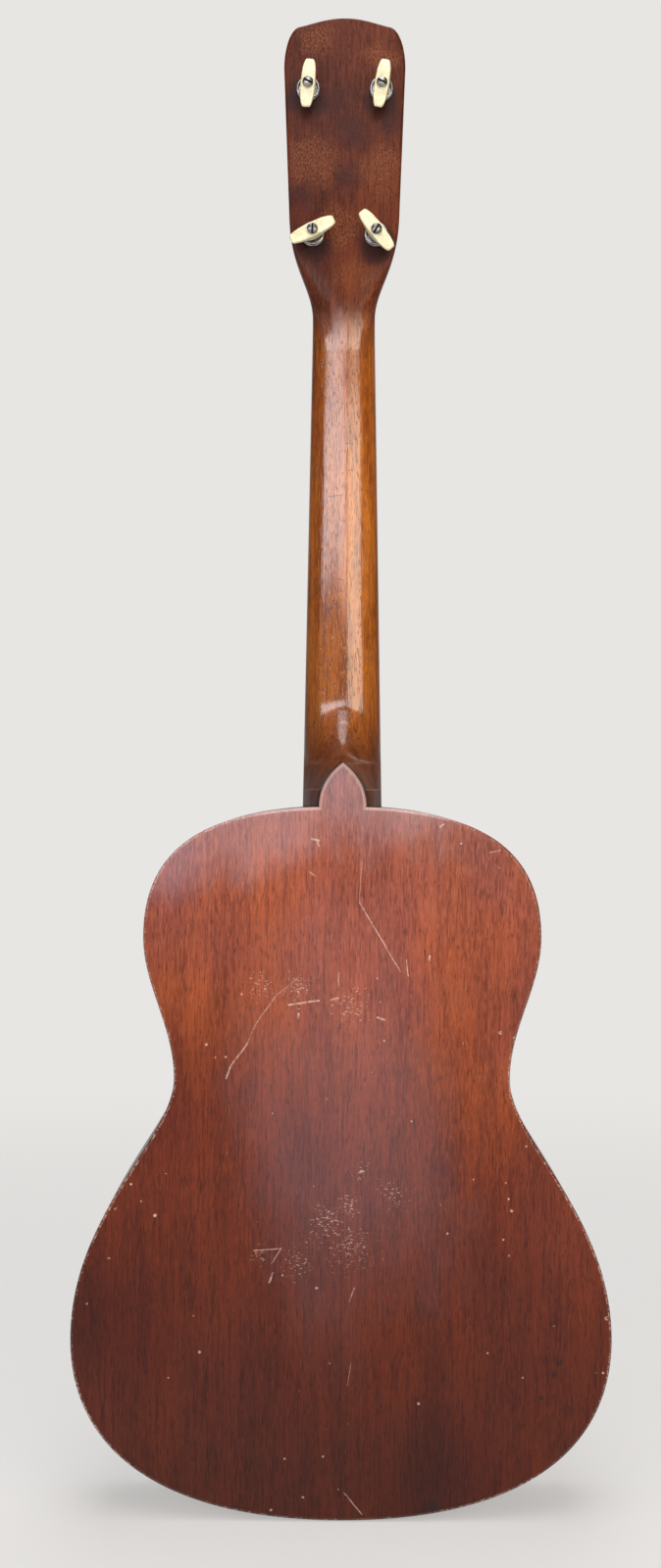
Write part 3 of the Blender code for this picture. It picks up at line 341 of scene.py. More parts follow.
# The back, with what the photograph shows of its wear: lines are (start, end, half width,
# strength) in (x, z); shades, dots, marks and scuffs are (x, z, radius)
# besides colour and wear, it holds painted shade and a painted sheen
backLook = {
    # the colour from the tail up to the neck, darker towards the tail: partly the wood's own,
    # partly painted shade of the light falling off downwards
    "tones": [
        (-0.541, (0.076, 0.0120, 0.0040)), (-0.480, (0.094, 0.0135, 0.0040)),
        (-0.425, (0.122, 0.0180, 0.0050)), (-0.380, (0.168, 0.028, 0.0090)),
        (-0.330, (0.258, 0.053, 0.0200)), (-0.290, (0.330, 0.074, 0.0340)),
        (-0.255, (0.325, 0.080, 0.0430)), (-0.217, (0.270, 0.095, 0.0800)),
    ],
    "areas": ((0.92, 0.94, 1.14), (1.10, 1.06, 0.72)),  # wide ones turn from plum to orange
    "shades": [(-0.080, -0.365, 0.055), (-0.100, -0.455, 0.050), (0.045, -0.520, 0.045)],
    "shadeTone": (0.58, 0.42, 0.42),
    "shadeDepth": 0.75,
    "tilt": 0.16,  # the tones climb this much per metre to the right
    # the oval of painted sheen, where the lacquer is also duller: how it is squashed, its middle
    # there, its fade
    "sheenOval": ((1.3, 0, 0.75), (0.004, 0, -0.276), (0.024, 0.084, 0.42, 0.0)),
    "topEdge": (-0.266, -0.234),
    "paintedSheen": (0.080, 0.085, 0.105),
    "scratchTone": (0.72, 0.50, 0.41),
    "markTone": (0.020, 0.010, 0.009),
    "lines": [
        ((0.0083, -0.2591), (0.0072, -0.2770), 0.00022, 0.55),
        ((0.0072, -0.2770), (0.0251, -0.3069), 0.00030, 0.85),
        ((0.0275, -0.3018), (0.0284, -0.3086), 0.00032, 0.80),
        ((-0.0187, -0.3094), (-0.0285, -0.3175), 0.00026, 0.50),
        ((-0.0285, -0.3175), (-0.0371, -0.3296), 0.00030, 0.60),
        ((-0.0371, -0.3296), (-0.0405, -0.3377), 0.00026, 0.45),
        ((-0.0405, -0.3377), (-0.0473, -0.3469), 0.00044, 0.85),
        ((-0.0473, -0.3469), (-0.0496, -0.3526), 0.00050, 0.80),
        ((-0.0230, -0.3212), (-0.0100, -0.3193), 0.00048, 1.00),
        ((-0.0046, -0.3188), (-0.0016, -0.3182), 0.00050, 0.90),
        ((-0.0014, -0.3074), (-0.0017, -0.3128), 0.00034, 0.60),
        ((-0.0186, -0.3249), (-0.0188, -0.3266), 0.00060, 0.90),
        ((0.0152, -0.3265), (0.0183, -0.3274), 0.00055, 0.85),
        ((-0.0142, -0.2642), (-0.0117, -0.2659), 0.00040, 0.60),
        ((-0.0131, -0.2500), (-0.0102, -0.2506), 0.00060, 0.80),
        ((-0.0108, -0.2512), (-0.0102, -0.2530), 0.00055, 0.60),
        ((0.0418, -0.2446), (0.0435, -0.2435), 0.00050, 0.85),
        ((0.0376, -0.3000), (0.0374, -0.3017), 0.00060, 0.80),
        ((0.0631, -0.2556), (0.0677, -0.2546), 0.00040, 0.50),
        ((-0.0373, -0.4261), (-0.0257, -0.4253), 0.00030, 0.80),
        ((-0.0257, -0.4253), (-0.0300, -0.4318), 0.00028, 0.70),
        ((-0.0369, -0.4265), (-0.0361, -0.4288), 0.00030, 0.70),
        ((-0.0292, -0.4357), (-0.0307, -0.4396), 0.00050, 0.75),
        ((0.0057, -0.4418), (0.0034, -0.4479), 0.00028, 0.60),
        ((0.0014, -0.5288), (0.0091, -0.5380), 0.00030, 0.75),
        ((0.0043, -0.4741), (0.0028, -0.4834), 0.00024, 0.35),
    ],
    "dotSize": 0.8,
    "buttonRimHighlight": (-0.243, -0.236, 0.0, 0.35),
    "jointHalf": 0.0006,  # the dark line where the two boards meet, from below the waist down
    "jointFrom": (-0.38, -0.45),
    "dots": [
        (-0.0581, -0.3383, 0.0010), (-0.0543, -0.3438, 0.0007), (0.0166, -0.3199, 0.0008),
        (0.0679, -0.3327, 0.0013), (0.0737, -0.3349, 0.0009), (-0.0718, -0.3550, 0.0009),
        (-0.0792, -0.3223, 0.0007), (-0.0431, -0.3167, 0.0008), (-0.0322, -0.3120, 0.0009),
        (-0.0798, -0.4113, 0.0012), (-0.0994, -0.4297, 0.0009), (0.0729, -0.4088, 0.0011),
        (0.0716, -0.4038, 0.0008), (0.0693, -0.4211, 0.0007), (0.0333, -0.4910, 0.0010),
        (-0.0690, -0.5308, 0.0012), (-0.0296, -0.5363, 0.0010), (-0.0161, -0.5311, 0.0010),
        (-0.0075, -0.5136, 0.0008), (-0.0902, -0.3980, 0.0010), (-0.0966, -0.4086, 0.0009),
        (0.1135, -0.4545, 0.0013), (0.1121, -0.4776, 0.0010), (-0.1127, -0.4835, 0.0010),
        (-0.0604, -0.4694, 0.0010), (-0.0105, -0.4421, 0.0010),
    ],
    "darkMarks": [
        (0.0934, -0.4735, 0.0022), (0.0911, -0.4786, 0.0017), (0.0857, -0.4885, 0.0015),
        (0.0393, -0.5345, 0.0040),
    ],
    "scuffs": [
        (0.0080, -0.3925, 0.009), (0.0030, -0.4060, 0.010), (-0.0060, -0.4135, 0.014),
        (0.0220, -0.4020, 0.013), (0.0030, -0.4235, 0.020), (-0.0190, -0.4310, 0.012),
        (-0.0340, -0.4285, 0.008), (-0.0350, -0.3140, 0.012), (-0.0195, -0.3145, 0.013),
        (0.0040, -0.3215, 0.015),
    ],
}
# Shared by the back, the top and the sides
lacquer = {
    "IOR": 1.42,
    "grainHeight": 0.00005,
    "waveHeight": 0.0008,
    "chipScale": 900.0,
    "chipFade": 0.07,
    "rimFade": (1.60, 1.74),
    "bare": (0.62, 0.38, 0.27),  # wood showing through on the top and the sides
}


def strayChips(finish, place, scale, chips, start, share):
    # Small chips scattered over the wood
    cells = finish.add("TexVoronoi", {"Vector": place, "Scale": scale}, "Distance")
    return cells.fade(0.06, 0.03) * chips.fade(start, start + lacquer["chipFade"], 0.0, share)


def wornRim(rim, chips, cloud, share):
    # Lacquer rubbed off the rounded edge in places
    return (rim + (chips * 0.8 + cloud * 0.4)).fade(*lacquer["rimFade"], 0.0, share)


def lacquerBump(finish, height, cloud):
    return finish.bump(height * lacquer["grainHeight"] + cloud * lacquer["waveHeight"])


def lacqueredBack():
    finish = Finish("mahoganyBack", IOR=lacquer["IOR"], Specular_IOR_Level=0.3,
                    Coat_Roughness=0.25)
    cloud = finish.noise(22.0, 3.0, 0.55, stretch=(1, 1, 0.6))
    wave = (cloud - 0.5) * 0.09
    x, z = finish.axis("X"), finish.axis("Z")
    # warm and pale at the upper bout, darker towards the tail and a little to the left: partly the
    # wood's own colour, partly painted shade of the light falling off downwards
    level = z + wave + x * backLook["tilt"]
    base, height = mahogany(finish, bodyGrain, finish.ramp(level, backLook["tones"]))
    areas = finish.noise(17.0, stretch=(1, 1, 0.55)).fade(0.36, 0.64)
    base = finish.mix(1.0, base, finish.mix(areas, *backLook["areas"]), "MULTIPLY")
    # painted shade: darker patches at the left waist and on the lower bout
    shade = spots(finish, backLook["shades"], 0.0) * backLook["shadeDepth"]
    base = finish.mix(shade, base, backLook["shadeTone"], "MULTIPLY")
    # painted sheen: a pale haze added to the colour over an oval on the middle of the back and
    # along its top edge, where the lacquer is also made duller
    squash, middle, fade = backLook["sheenOval"]
    dull = (finish.stretched(*squash).distance(middle) + wave).fade(*fade)
    paintedSheen = dull | (z + wave + x * -backLook["tilt"]).fade(*backLook["topEdge"])
    base = finish.mix(paintedSheen, base, backLook["paintedSheen"], "ADD")
    # knocks, scuffs, chips and the worn edge, a painted highlight on the rim at the heel's button,
    # then scratches
    chips = finish.noise(lacquer["chipScale"], 2.0, 0.7)
    dots = [(*place, backLook["dotSize"] * radius) for *place, radius in backLook["dots"]]
    dots = spots(finish, dots, 0.35) * chips.fade(0.42, 0.55)
    scuffed = spots(finish, backLook["scuffs"], 0.0)
    flecks = finish.noise(1400.0, 3.0, 0.75, stretch=(0.4, 1, 1.2)) + scuffed * 0.13
    pale = dots | flecks.fade(0.69, 0.76) * scuffed.fade(0.0, 0.15)
    pale = pale | strayChips(finish, finish.stretched(1, 0, 1), 100.0, chips, 0.46, 0.75)
    rim = finish.attribute("rim")
    pale = pale | wornRim(rim, chips, cloud, 0.6)
    # painted highlight: the rounded rim round the heel's button and along the top edge painted pale
    pale = pale | z.fade(*backLook["buttonRimHighlight"]) * rim
    finish.give(Coat_Weight=rim * 0.6 + 0.15)
    pale = pale | scratches(finish, backLook["lines"])
    base = finish.mix(pale, base, backLook["scratchTone"])
    marks = spots(finish, backLook["darkMarks"], 0.4) * chips.fade(0.38, 0.50, 0.0, 0.8)
    joint = finish.add("Math", {0: x}, operation="ABSOLUTE")
    joint = joint.fade(backLook["jointHalf"], 0.0002, 0.0, 0.35) * z.fade(*backLook["jointFrom"])
    base = finish.mix(marks | joint, base, backLook["markTone"])
    return finish.give(Base_Color=base, Roughness=cloud.fade(0.3, 0.7, 0.36, 0.46) + paintedSheen * 0.16,
                       Normal=lacquerBump(finish, height, cloud))


def lacqueredPlate(name, tones, roughness, coordinates="Object"):
    # Body wood without the back's own marks, for the top and the sides
    finish = Finish(name, coordinates, IOR=lacquer["IOR"], Coat_Weight=0.25,
                    Coat_Roughness=0.22)
    if coordinates == "UV":
        quarter = (0, math.radians(90), 0)
        finish.here = finish.add("Mapping", {"Vector": finish.here, "Rotation": quarter})
    cloud = finish.noise(25.0, 3.0, 0.6)
    base, height = mahogany(finish, bodyGrain, finish.mix(cloud.fade(0.35, 0.7), *tones))
    chips = finish.noise(lacquer["chipScale"], 2.0, 0.7)
    strays = strayChips(finish, finish.here, 60.0, chips, 0.48, 0.5)
    pale = strays | wornRim(finish.attribute("rim"), chips, cloud, 0.5)
    base = finish.mix(pale, base, lacquer["bare"])
    return finish.give(Base_Color=base,
                       Roughness=cloud.fade(0.3, 0.7, roughness - 0.05, roughness + 0.07),
                       Normal=lacquerBump(finish, height, cloud))


# The neck: orange-brown where the hand wears it, dark red-brown at headstock and heel
neckLook = {
    "tones": [
        (-0.245, (0.105, 0.027, 0.0110)), (-0.214, (0.170, 0.045, 0.0130)),
        (-0.185, (0.360, 0.100, 0.0140)), (-0.100, (0.440, 0.122, 0.0140)),
        (-0.034, (0.360, 0.095, 0.0120)), (-0.012, (0.135, 0.030, 0.0090)),
        (0.020, (0.100, 0.021, 0.0090)), (0.117, (0.104, 0.022, 0.0100)),
    ],
    "across": ((0.86, 0.82, 0.94), (1.16, 1.14, 1.00)),
    "acrossFade": (-0.013, 0.013),
    "headFade": (-0.014, 0.010),
    "heelFade": (-0.219, -0.210),
    "coatFade": (-0.030, -0.010, 1.0, 0.06),
    "grainHeight": 0.00004,
    "dentHeight": 0.0004,
    "nickDepth": 0.0002,
    "sheenHeight": 0.00009,
    # on the headstock: x, z, radius
    "warmPatches": [
        (-0.013, 0.053, 0.019), (0.016, 0.049, 0.016), (-0.012, 0.108, 0.013),
        (0.013, 0.100, 0.013), (-0.002, 0.024, 0.015), (0.006, 0.000, 0.014),
    ],
    "darkPatches": [
        (0.004, 0.068, 0.013), (0.003, 0.045, 0.009), (-0.018, 0.036, 0.011),
        (-0.003, 0.080, 0.013), (0.021, 0.070, 0.012), (-0.022, 0.078, 0.012),
        (-0.014, 0.014, 0.011), (0.016, 0.012, 0.010),
    ],
    "warmTone": (0.250, 0.080, 0.028),
    "darkTone": (0.046, 0.012, 0.011),
    "grimeAndShadow": (0.022, 0.008, 0.007),
    "shadowDrop": 0.004,  # below each peg
    "shadowRadius": 0.0115,
    "nickTone": (0.025, 0.012, 0.010),
    "cornerTone": (0.012, 0.009, 0.008),
    "cornerHalf": 0.0008,  # the dark line round the heel's button, and how far out it lies
    "cornerOut": (0.0006, 0.0003),
    "cornerDepth": 0.85,
    "nicks": [
        ((0.0040, -0.0466), (0.0059, -0.0475), 0.00028, 0.8),
        ((-0.0057, -0.0628), (-0.0042, -0.0658), 0.00050, 0.6),
        ((0.0012, -0.0737), (0.0041, -0.0737), 0.00025, 0.8),
        ((-0.0035, -0.0776), (-0.0016, -0.0772), 0.00025, 0.8),
        ((-0.0068, -0.0858), (-0.0038, -0.0860), 0.00025, 0.8),
        ((0.0020, -0.0857), (0.0049, -0.0857), 0.00032, 0.7),
        ((-0.0063, -0.0974), (-0.0001, -0.0969), 0.00030, 1.0),
        ((-0.0019, -0.1075), (0.0006, -0.1090), 0.00028, 0.9),
        ((-0.0056, -0.1343), (0.0001, -0.1348), 0.00028, 0.9),
        ((-0.0047, -0.1464), (-0.0015, -0.1452), 0.00028, 0.9),
    ],
}
neckGrain = dict(bodyGrain, ribbonTones=((0.62, 0.50, 0.45), (1.30, 1.40, 1.35)),
                 ribbonScale=120.0, ribbonStretch=0.14, streakTone=(0.40, 0.32, 0.35),
                 streakShare=0.7, poreStretch=0.16, poreShare=0.75)


def lacqueredNeck():
    look = neckLook
    finish = Finish("mahoganyNeck", IOR=1.42, Specular_IOR_Level=0.1, Coat_IOR=1.7,
                    Coat_Roughness=0.11)
    z = finish.axis("Z")
    blotch = finish.noise(90.0, 3.0, 0.6, stretch=(1, 1, 0.35))
    wave = (blotch - 0.5) * 0.03
    base, height = mahogany(finish, neckGrain, finish.ramp(z + wave, look["tones"]))
    # painted light: the neck painted paler and warmer on its +X side and darker and cooler on the
    # other
    across = finish.mix(finish.axis("X").fade(*look["acrossFade"]), *look["across"])
    base = finish.mix(1.0, base, across, "MULTIPLY")
    onHead = z.fade(*look["headFade"])
    moved = warped(finish, 75.0, 0.024)
    dark = spots(finish, look["darkPatches"], 0.0, moved)
    base = finish.mix(dark * onHead * 0.9, base, look["darkTone"])
    warm = spots(finish, look["warmPatches"], 0.0, moved)
    flecks = finish.noise(1400.0, 3.0, 0.7, stretch=(1, 1, 0.6)).fade(0.38, 0.66) * onHead
    base = finish.mix(flecks * warm.fade(0.0, 0.8, 0.12, 0.85), base, look["warmTone"])
    # painted shadow: the headstock darkened just below each peg
    grimeAndShadow = [(across, up - look["shadowDrop"], look["shadowRadius"])
             for across, up in pegPlaces.values()]
    base = finish.mix(spots(finish, grimeAndShadow, 0.35) * onHead * 0.8, base, look["grimeAndShadow"])
    nicks = scratches(finish, look["nicks"], 0.0010)
    nicks = nicks * finish.axis("Y").fade(0.0, 0.002, 1.0, 0.0)
    base = finish.mix(nicks, base, look["nickTone"])
    # a dark line painted on the neck round the back's heel button
    outX, outZ = look["cornerOut"]
    corner = [(across + outX, up + outZ) for across, up in heelButtonHalf(6)]
    corner = [((side * a[0], a[1]), (side * b[0], b[1]), look["cornerHalf"], look["cornerDepth"])
              for side in (-1, 1) for a, b in zip(corner, corner[1:])]
    base = finish.mix(scratches(finish, corner, 0.0002), base, look["cornerTone"])
    finish.give(Base_Color=base, Roughness=blotch.fade(0.3, 0.7, 0.30, 0.42))
    # lacquer worn glossy by the hand, duller on the heel and the headstock
    aboveHeel = (z + wave * 0.3).fade(*look["heelFade"])
    finish.give(Coat_Weight=z.fade(*look["coatFade"]) * aboveHeel)
    height = height * look["grainHeight"]
    dents = blotch * look["dentHeight"] - nicks * look["nickDepth"]
    finish.give(Normal=finish.bump(height + dents))
    fine = finish.noise(700.0, 3.0, 0.6, stretch=(1, 1, 0.03))
    return finish.give(Coat_Normal=finish.bump(fine * look["sheenHeight"] + height * 0.8))


def rawWood():
    finish = Finish("mahoganyRaw", Roughness=0.75, IOR=1.4)
    dust = finish.noise(60.0, 4.0, 0.6)
    tone = finish.mix(dust.fade(0.3, 0.7), (0.27, 0.125, 0.065), (0.36, 0.19, 0.105))
    base, height = mahogany(finish, bodyGrain, tone)
    base = finish.mix(dust.fade(0.5, 0.8, 0.0, 0.35), base, (0.32, 0.27, 0.22))
    return finish.give(Base_Color=base, Normal=finish.bump(height, 0.0001))


def rosewoodFinish():
    finish = Finish("rosewood", IOR=1.45)
    worn = finish.noise(70.0, 3.0, 0.6)
    tone = finish.mix(worn.fade(0.3, 0.7), (0.042, 0.017, 0.010), (0.075, 0.033, 0.020))
    grain = dict(bodyGrain, ribbonTones=((0.45, 0.42, 0.42), (1.3, 1.3, 1.3)), ribbonScale=160.0)
    base, height = mahogany(finish, grain, tone)
    return finish.give(Base_Color=base, Roughness=worn.fade(0.3, 0.7, 0.36, 0.52),
                       Normal=finish.bump(height, 0.00008))


def boneFinish():
    finish = Finish("boneCream", IOR=1.5, Subsurface_Weight=0.06)
    tint = finish.noise(300.0, 3.0, 0.6, stretch=(1, 1, 0.3))
    base = finish.mix(tint.fade(0.35, 0.7), (0.78, 0.71, 0.56), (0.66, 0.57, 0.40))
    specks = finish.noise(2600.0, 2.0, 0.6)
    base = finish.mix(specks.fade(0.62, 0.72, 0.0, 0.35), base, (0.35, 0.26, 0.16))
    return finish.give(Base_Color=base, Roughness=tint.fade(0.3, 0.7, 0.30, 0.45),
                       Normal=finish.bump(specks, 0.00003))


def celluloidFinish():
    # Ivory celluloid with a fine layered grain along the button and yellowed patches
    finish = Finish("creamCelluloid", IOR=1.5, Subsurface_Weight=0.10, Coat_Weight=0.4,
                    Coat_Roughness=0.12, Subsurface_Radius=(0.0016, 0.0011, 0.0006))
    layers = finish.noise(2200.0, 3.0, 0.6, stretch=(0.25, 1, 0.25))
    age = finish.noise(190.0, 3.0, 0.6)
    base = finish.mix(layers.fade(0.3, 0.7), (0.93, 0.89, 0.64), (0.83, 0.75, 0.44))
    base = finish.mix(age.fade(0.46, 0.78, 0.0, 0.5), base, (0.66, 0.50, 0.21))
    return finish.give(Base_Color=base, Roughness=age.fade(0.3, 0.7, 0.24, 0.40),
                       Normal=finish.bump(layers, 0.00004))


def metalFinish(name, pale, dull, roughness, grimeAndShadow, slotted=False):
    # Plated or bare metal, tarnished in patches and grimy where the noise is high
    finish = Finish(name, Metallic=1.0)
    patches = finish.noise(420.0, 4.0, 0.65)
    base = finish.mix(patches.fade(0.38, 0.66), pale, dull)
    dirt = finish.noise(1300.0, 3.0, 0.6)
    base = finish.mix(dirt.fade(0.55, 0.72, 0.0, grimeAndShadow), base, (0.05, 0.045, 0.04))
    if slotted:
        # painted shade: the faces inside the screw's slot painted near black
        base = finish.mix(finish.attribute("slot"), base, (0.012, 0.011, 0.010))
    finish.give(Base_Color=base, Roughness=patches.fade(0.3, 0.7, roughness, roughness + 0.18))
    return finish.give(Normal=finish.bump(finish.noise(3000.0, stretch=(1, 0.1, 1)), 0.00001))


def nylonFinish():
    finish = Finish("nylon", IOR=1.53, Subsurface_Weight=0.15,
                    Subsurface_Radius=(0.0008, 0.0007, 0.0005))
    tint = finish.noise(600.0)
    base = finish.mix(tint.fade(0.3, 0.7), (0.80, 0.77, 0.68), (0.72, 0.67, 0.54))
    return finish.give(Base_Color=base, Roughness=tint.fade(0.3, 0.7, 0.20, 0.32))


# Modelling helpers


def chain(bm, points, closed=True):
    # Vertices at the points and the edges from each to the next
    verts = [bm.verts.new(point) for point in points]
    ends = verts[1:] + verts[:1] if closed else verts[1:]
    return [bm.edges.new(pair) for pair in zip(verts, ends)]


def madeParts(made, kind):
    return [item for item in made["geom"] if isinstance(item, kind)]


def weld(bm, distance=1e-6):
    bmesh.ops.remove_doubles(bm, verts=bm.verts, dist=distance)
    bmesh.ops.recalc_face_normals(bm, faces=bm.faces)


def loftSections(sections, capped=True):
    # Bridges each loop of points to the next; loops may gather points at a corner
    bm = bmesh.new()
    loops = [chain(bm, points) for points in sections]
    for low, high in zip(loops, loops[1:]):
        bmesh.ops.bridge_loops(bm, edges=low + high)
    for end in (loops[0], loops[-1]) if capped else ():
        bmesh.ops.contextual_create(bm, geom=end)
    weld(bm)
    return bm


def spun(profile, steps, centre=(0, 0, 0), closed=True):
    # A profile of (radius, y) turned about the Y axis
    bm = bmesh.new()
    edges = chain(bm, [(radius, y, 0) for radius, y in profile], closed)
    bmesh.ops.spin(bm, geom=list(bm.verts) + edges, cent=(0, 0, 0), axis=(0, 1, 0),
                   angle=2 * math.pi, steps=steps, use_merge=True)
    weld(bm, 1e-7)
    bmesh.ops.translate(bm, verts=bm.verts, vec=centre)
    return bm


def bevelEdges(bm, edges, width, segments=3):
    bmesh.ops.bevel(bm, geom=edges, offset=width, segments=segments, profile=0.5, material=-1,
                    affect="EDGES", clamp_overlap=True)


def blockShape(low, high):
    bm = bmesh.new()
    low, high = Vector(low), Vector(high)
    bmesh.ops.create_cube(bm, size=1)
    bmesh.ops.scale(bm, vec=high - low, verts=bm.verts)
    bmesh.ops.translate(bm, vec=(low + high) / 2, verts=bm.verts)
    return bm


def asMesh(bm, name):
    mesh = bpy.data.meshes.new(name)
    bm.to_mesh(mesh)
    bm.free()
    return mesh


def carved(mesh, tool):
    # The mesh with the tool's shape cut out of it
    holder, cutter = addObject("carved", mesh), addObject("cutter", asMesh(tool, "cutter"))
    cut = holder.modifiers.new("cut", "BOOLEAN")
    cut.solver = "EXACT"
    cut.object = cutter
    ready = holder.evaluated_get(bpy.context.evaluated_depsgraph_get())
    result = bpy.data.meshes.new_from_object(ready)
    for item in (holder, cutter):
        bpy.data.objects.remove(item)
    return result


def addPiece(name, shape, finish, slotName, *replaced, body="instrument", smoothAngle=35):
    mesh = asMesh(shape, name) if isinstance(shape, bmesh.types.BMesh) else shape
    mesh.name = name
    mesh.shade_smooth()
    mesh.set_sharp_from_angle(angle=math.radians(smoothAngle))
    mesh.materials.clear()
    mesh.materials.append(finish)
    piece = addObject(name, mesh)
    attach(piece, body)
    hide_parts(*replaced)
    return piece


def bezier(start, startHandle, endHandle, end, steps):
    points = []
    for k in range(steps + 1):
        t = k / steps
        shares = ((1 - t) ** 3, 3 * (1 - t) ** 2 * t, 3 * (1 - t) * t * t, t ** 3)
        knots = zip(start, startHandle, endHandle, end)
        points.append(tuple(sum(s * v for s, v in zip(shares, row)) for row in knots))
    return points


def eased(share):
    share = min(max(share, 0.0), 1.0)
    return share * share * (3 - 2 * share)


def quarterTurns(steps):
    return [0.5 * math.pi * k / steps for k in range(steps + 1)]


bodyShape = {
    # each bout or waist: half width, distance below the edge at the neck
    "upper": (0.0856, 0.0562),
    "waist": (0.0721, 0.1171),
    "lower": (0.1159, 0.2280),
    "reaches": ((0.666, 0.717), (0.345, 0.366), (0.227, 0.480), (0.629, 0.648)),
    "steps": (60, 40, 66, 90),
    "topThickness": 0.0019,
    "backThickness": 0.0021,
    "sideThickness": 0.0018,
    "topEdge": 0.0009,
    "backEdge": 0.0015,
    "wornBand": 0.0022,
    "rimFrom": 0.00002,  # how far below the face a vertex counts as rim
    "rimBeyond": 0.04,  # and on the top, from the soundhole's centre
    "faceLift": 0.000002,  # keeps a face's inner loop off the band's plane, for bridging
    "buttonHalf": 0.0103,
    "buttonHeight": 0.019,
    "buttonReach": (0.42, 0.62, 0.74),
    "soundhole": 0.0285,
    "soundholeZ": -0.33268,
    "holeEdge": 0.0003,
    "ringInner": 0.0300,
    "ringOuter": 0.0330,
    "ringDepth": 0.0006,
    "ringEdge": 0.00015,
    "circleSteps": 128,
}


def bodyHalf():
    # Half the outline in (x, z), from the middle of its neck edge down to the tail
    (upper, upperDrop), (waist, waistDrop), (lower, lowerDrop) = (
        bodyShape["upper"], bodyShape["waist"], bodyShape["lower"])
    upperZ, waistZ, lowerZ = (bodyTopZ - drop for drop in (upperDrop, waistDrop, lowerDrop))
    flank, hip, foot = upperZ - waistZ, waistZ - lowerZ, lowerZ - tailZ
    shoulderReach, flankReach, hipReach, tailReach = bodyShape["reaches"]
    stretches = (
        ((0, bodyTopZ), (upper * shoulderReach[0], bodyTopZ),
         (upper, upperZ + upperDrop * shoulderReach[1]), (upper, upperZ)),
        ((upper, upperZ), (upper, upperZ - flank * flankReach[0]),
         (waist, waistZ + flank * flankReach[1]), (waist, waistZ)),
        ((waist, waistZ), (waist, waistZ - hip * hipReach[0]),
         (lower, lowerZ + hip * hipReach[1]), (lower, lowerZ)),
        ((lower, lowerZ), (lower, lowerZ - foot * tailReach[0]),
         (lower * tailReach[1], tailZ), (0, tailZ)),
    )
    points = [stretches[0][0]]
    for stretch, steps in zip(stretches, bodyShape["steps"]):
        points += bezier(*stretch, steps)[1:]
    return points


outline = bodyHalf()
shoulder = outline[: bodyShape["steps"][0] + 1]


def bodyEdgeZ(x):
    edge = np.array(shoulder)
    return float(np.interp(abs(x), edge[:, 0], edge[:, 1]))


def heelButtonHalf(steps=28):
    half = bodyShape["buttonHalf"]
    footZ, tipZ = bodyEdgeZ(half), bodyTopZ + bodyShape["buttonHeight"]
    rise = tipZ - footZ
    low, across, high = bodyShape["buttonReach"]
    return bezier((half, footZ), (half, footZ + low * rise), (across * half, footZ + high * rise),
                  (0, tipZ), steps)


def fullLoop(half):
    return list(half) + [(-x, z) for x, z in half[-2:0:-1]]


def rimAttribute(mesh, isRim):
    # 1 at the vertices of the rounded edge, 0 elsewhere, for wear in the material and for the
    # back's painted highlight at the heel's button
    values = np.array([1.0 if isRim(v.co) else 0.0 for v in mesh.vertices], np.float32)
    mesh.attributes.new("rim", "FLOAT", "POINT").data.foreach_set("value", values)
    return mesh


def insetHalf(half, distance):
    # The half outline moved inwards, corners mitred; what a sharp tip swallows stays at the tip
    points = np.array(half)
    before = np.vstack([points[1] * (-1, 1), points[:-1]])
    after = np.vstack([points[1:], points[-2] * (-1, 1)])
    inwards = 0
    for run in (points - before, after - points):
        inwards = inwards + (run / np.linalg.norm(run, axis=1, keepdims=True))[:, ::-1] * (1, -1)
    moved = points + 2 * distance * inwards / (inwards ** 2).sum(axis=1, keepdims=True)
    for index in range(len(moved) // 2):
        if moved[index][0] < 0:
            moved[index] = moved[0]
    return [tuple(point) for point in moved]


def edgeRows(radius):
    # Inset and depth of a rounded edge, from the flank to the face
    return [(radius * (1 - math.cos(turn)), radius * (1 - math.sin(turn)))
            for turn in quarterTurns(5)]


def plateLoops(half, rows):
    return [[(x, y, z) for x, z in fullLoop(insetHalf(half, inset))] for inset, y in rows]


def makeBack():
    thickness, edge = bodyShape["backThickness"], bodyShape["backEdge"]
    start = bodyShape["buttonHalf"] + edge * 0.35  # the outline leaves the button's foot here
    beyond = [p for p in shoulder[:-1] if p[0] > start]
    half = heelButtonHalf()[::-1] + beyond + outline[bodyShape["steps"][0]:]
    rows = [(0, 0)] + [(inset, depth - thickness) for inset, depth in edgeRows(edge)]
    rows.append((edge + bodyShape["wornBand"], -thickness - bodyShape["faceLift"]))
    bm = loftSections(plateLoops(half, rows))
    for vert in bm.verts:
        vert.co.y += backY(vert.co.z) + thickness
    mesh = rimAttribute(asMesh(bm, "bodyBack"),
                        lambda co: co.y > backY(co.z) + bodyShape["rimFrom"])
    addPiece("bodyBack", mesh, backFinish, "body_mahogany", "back_plate")


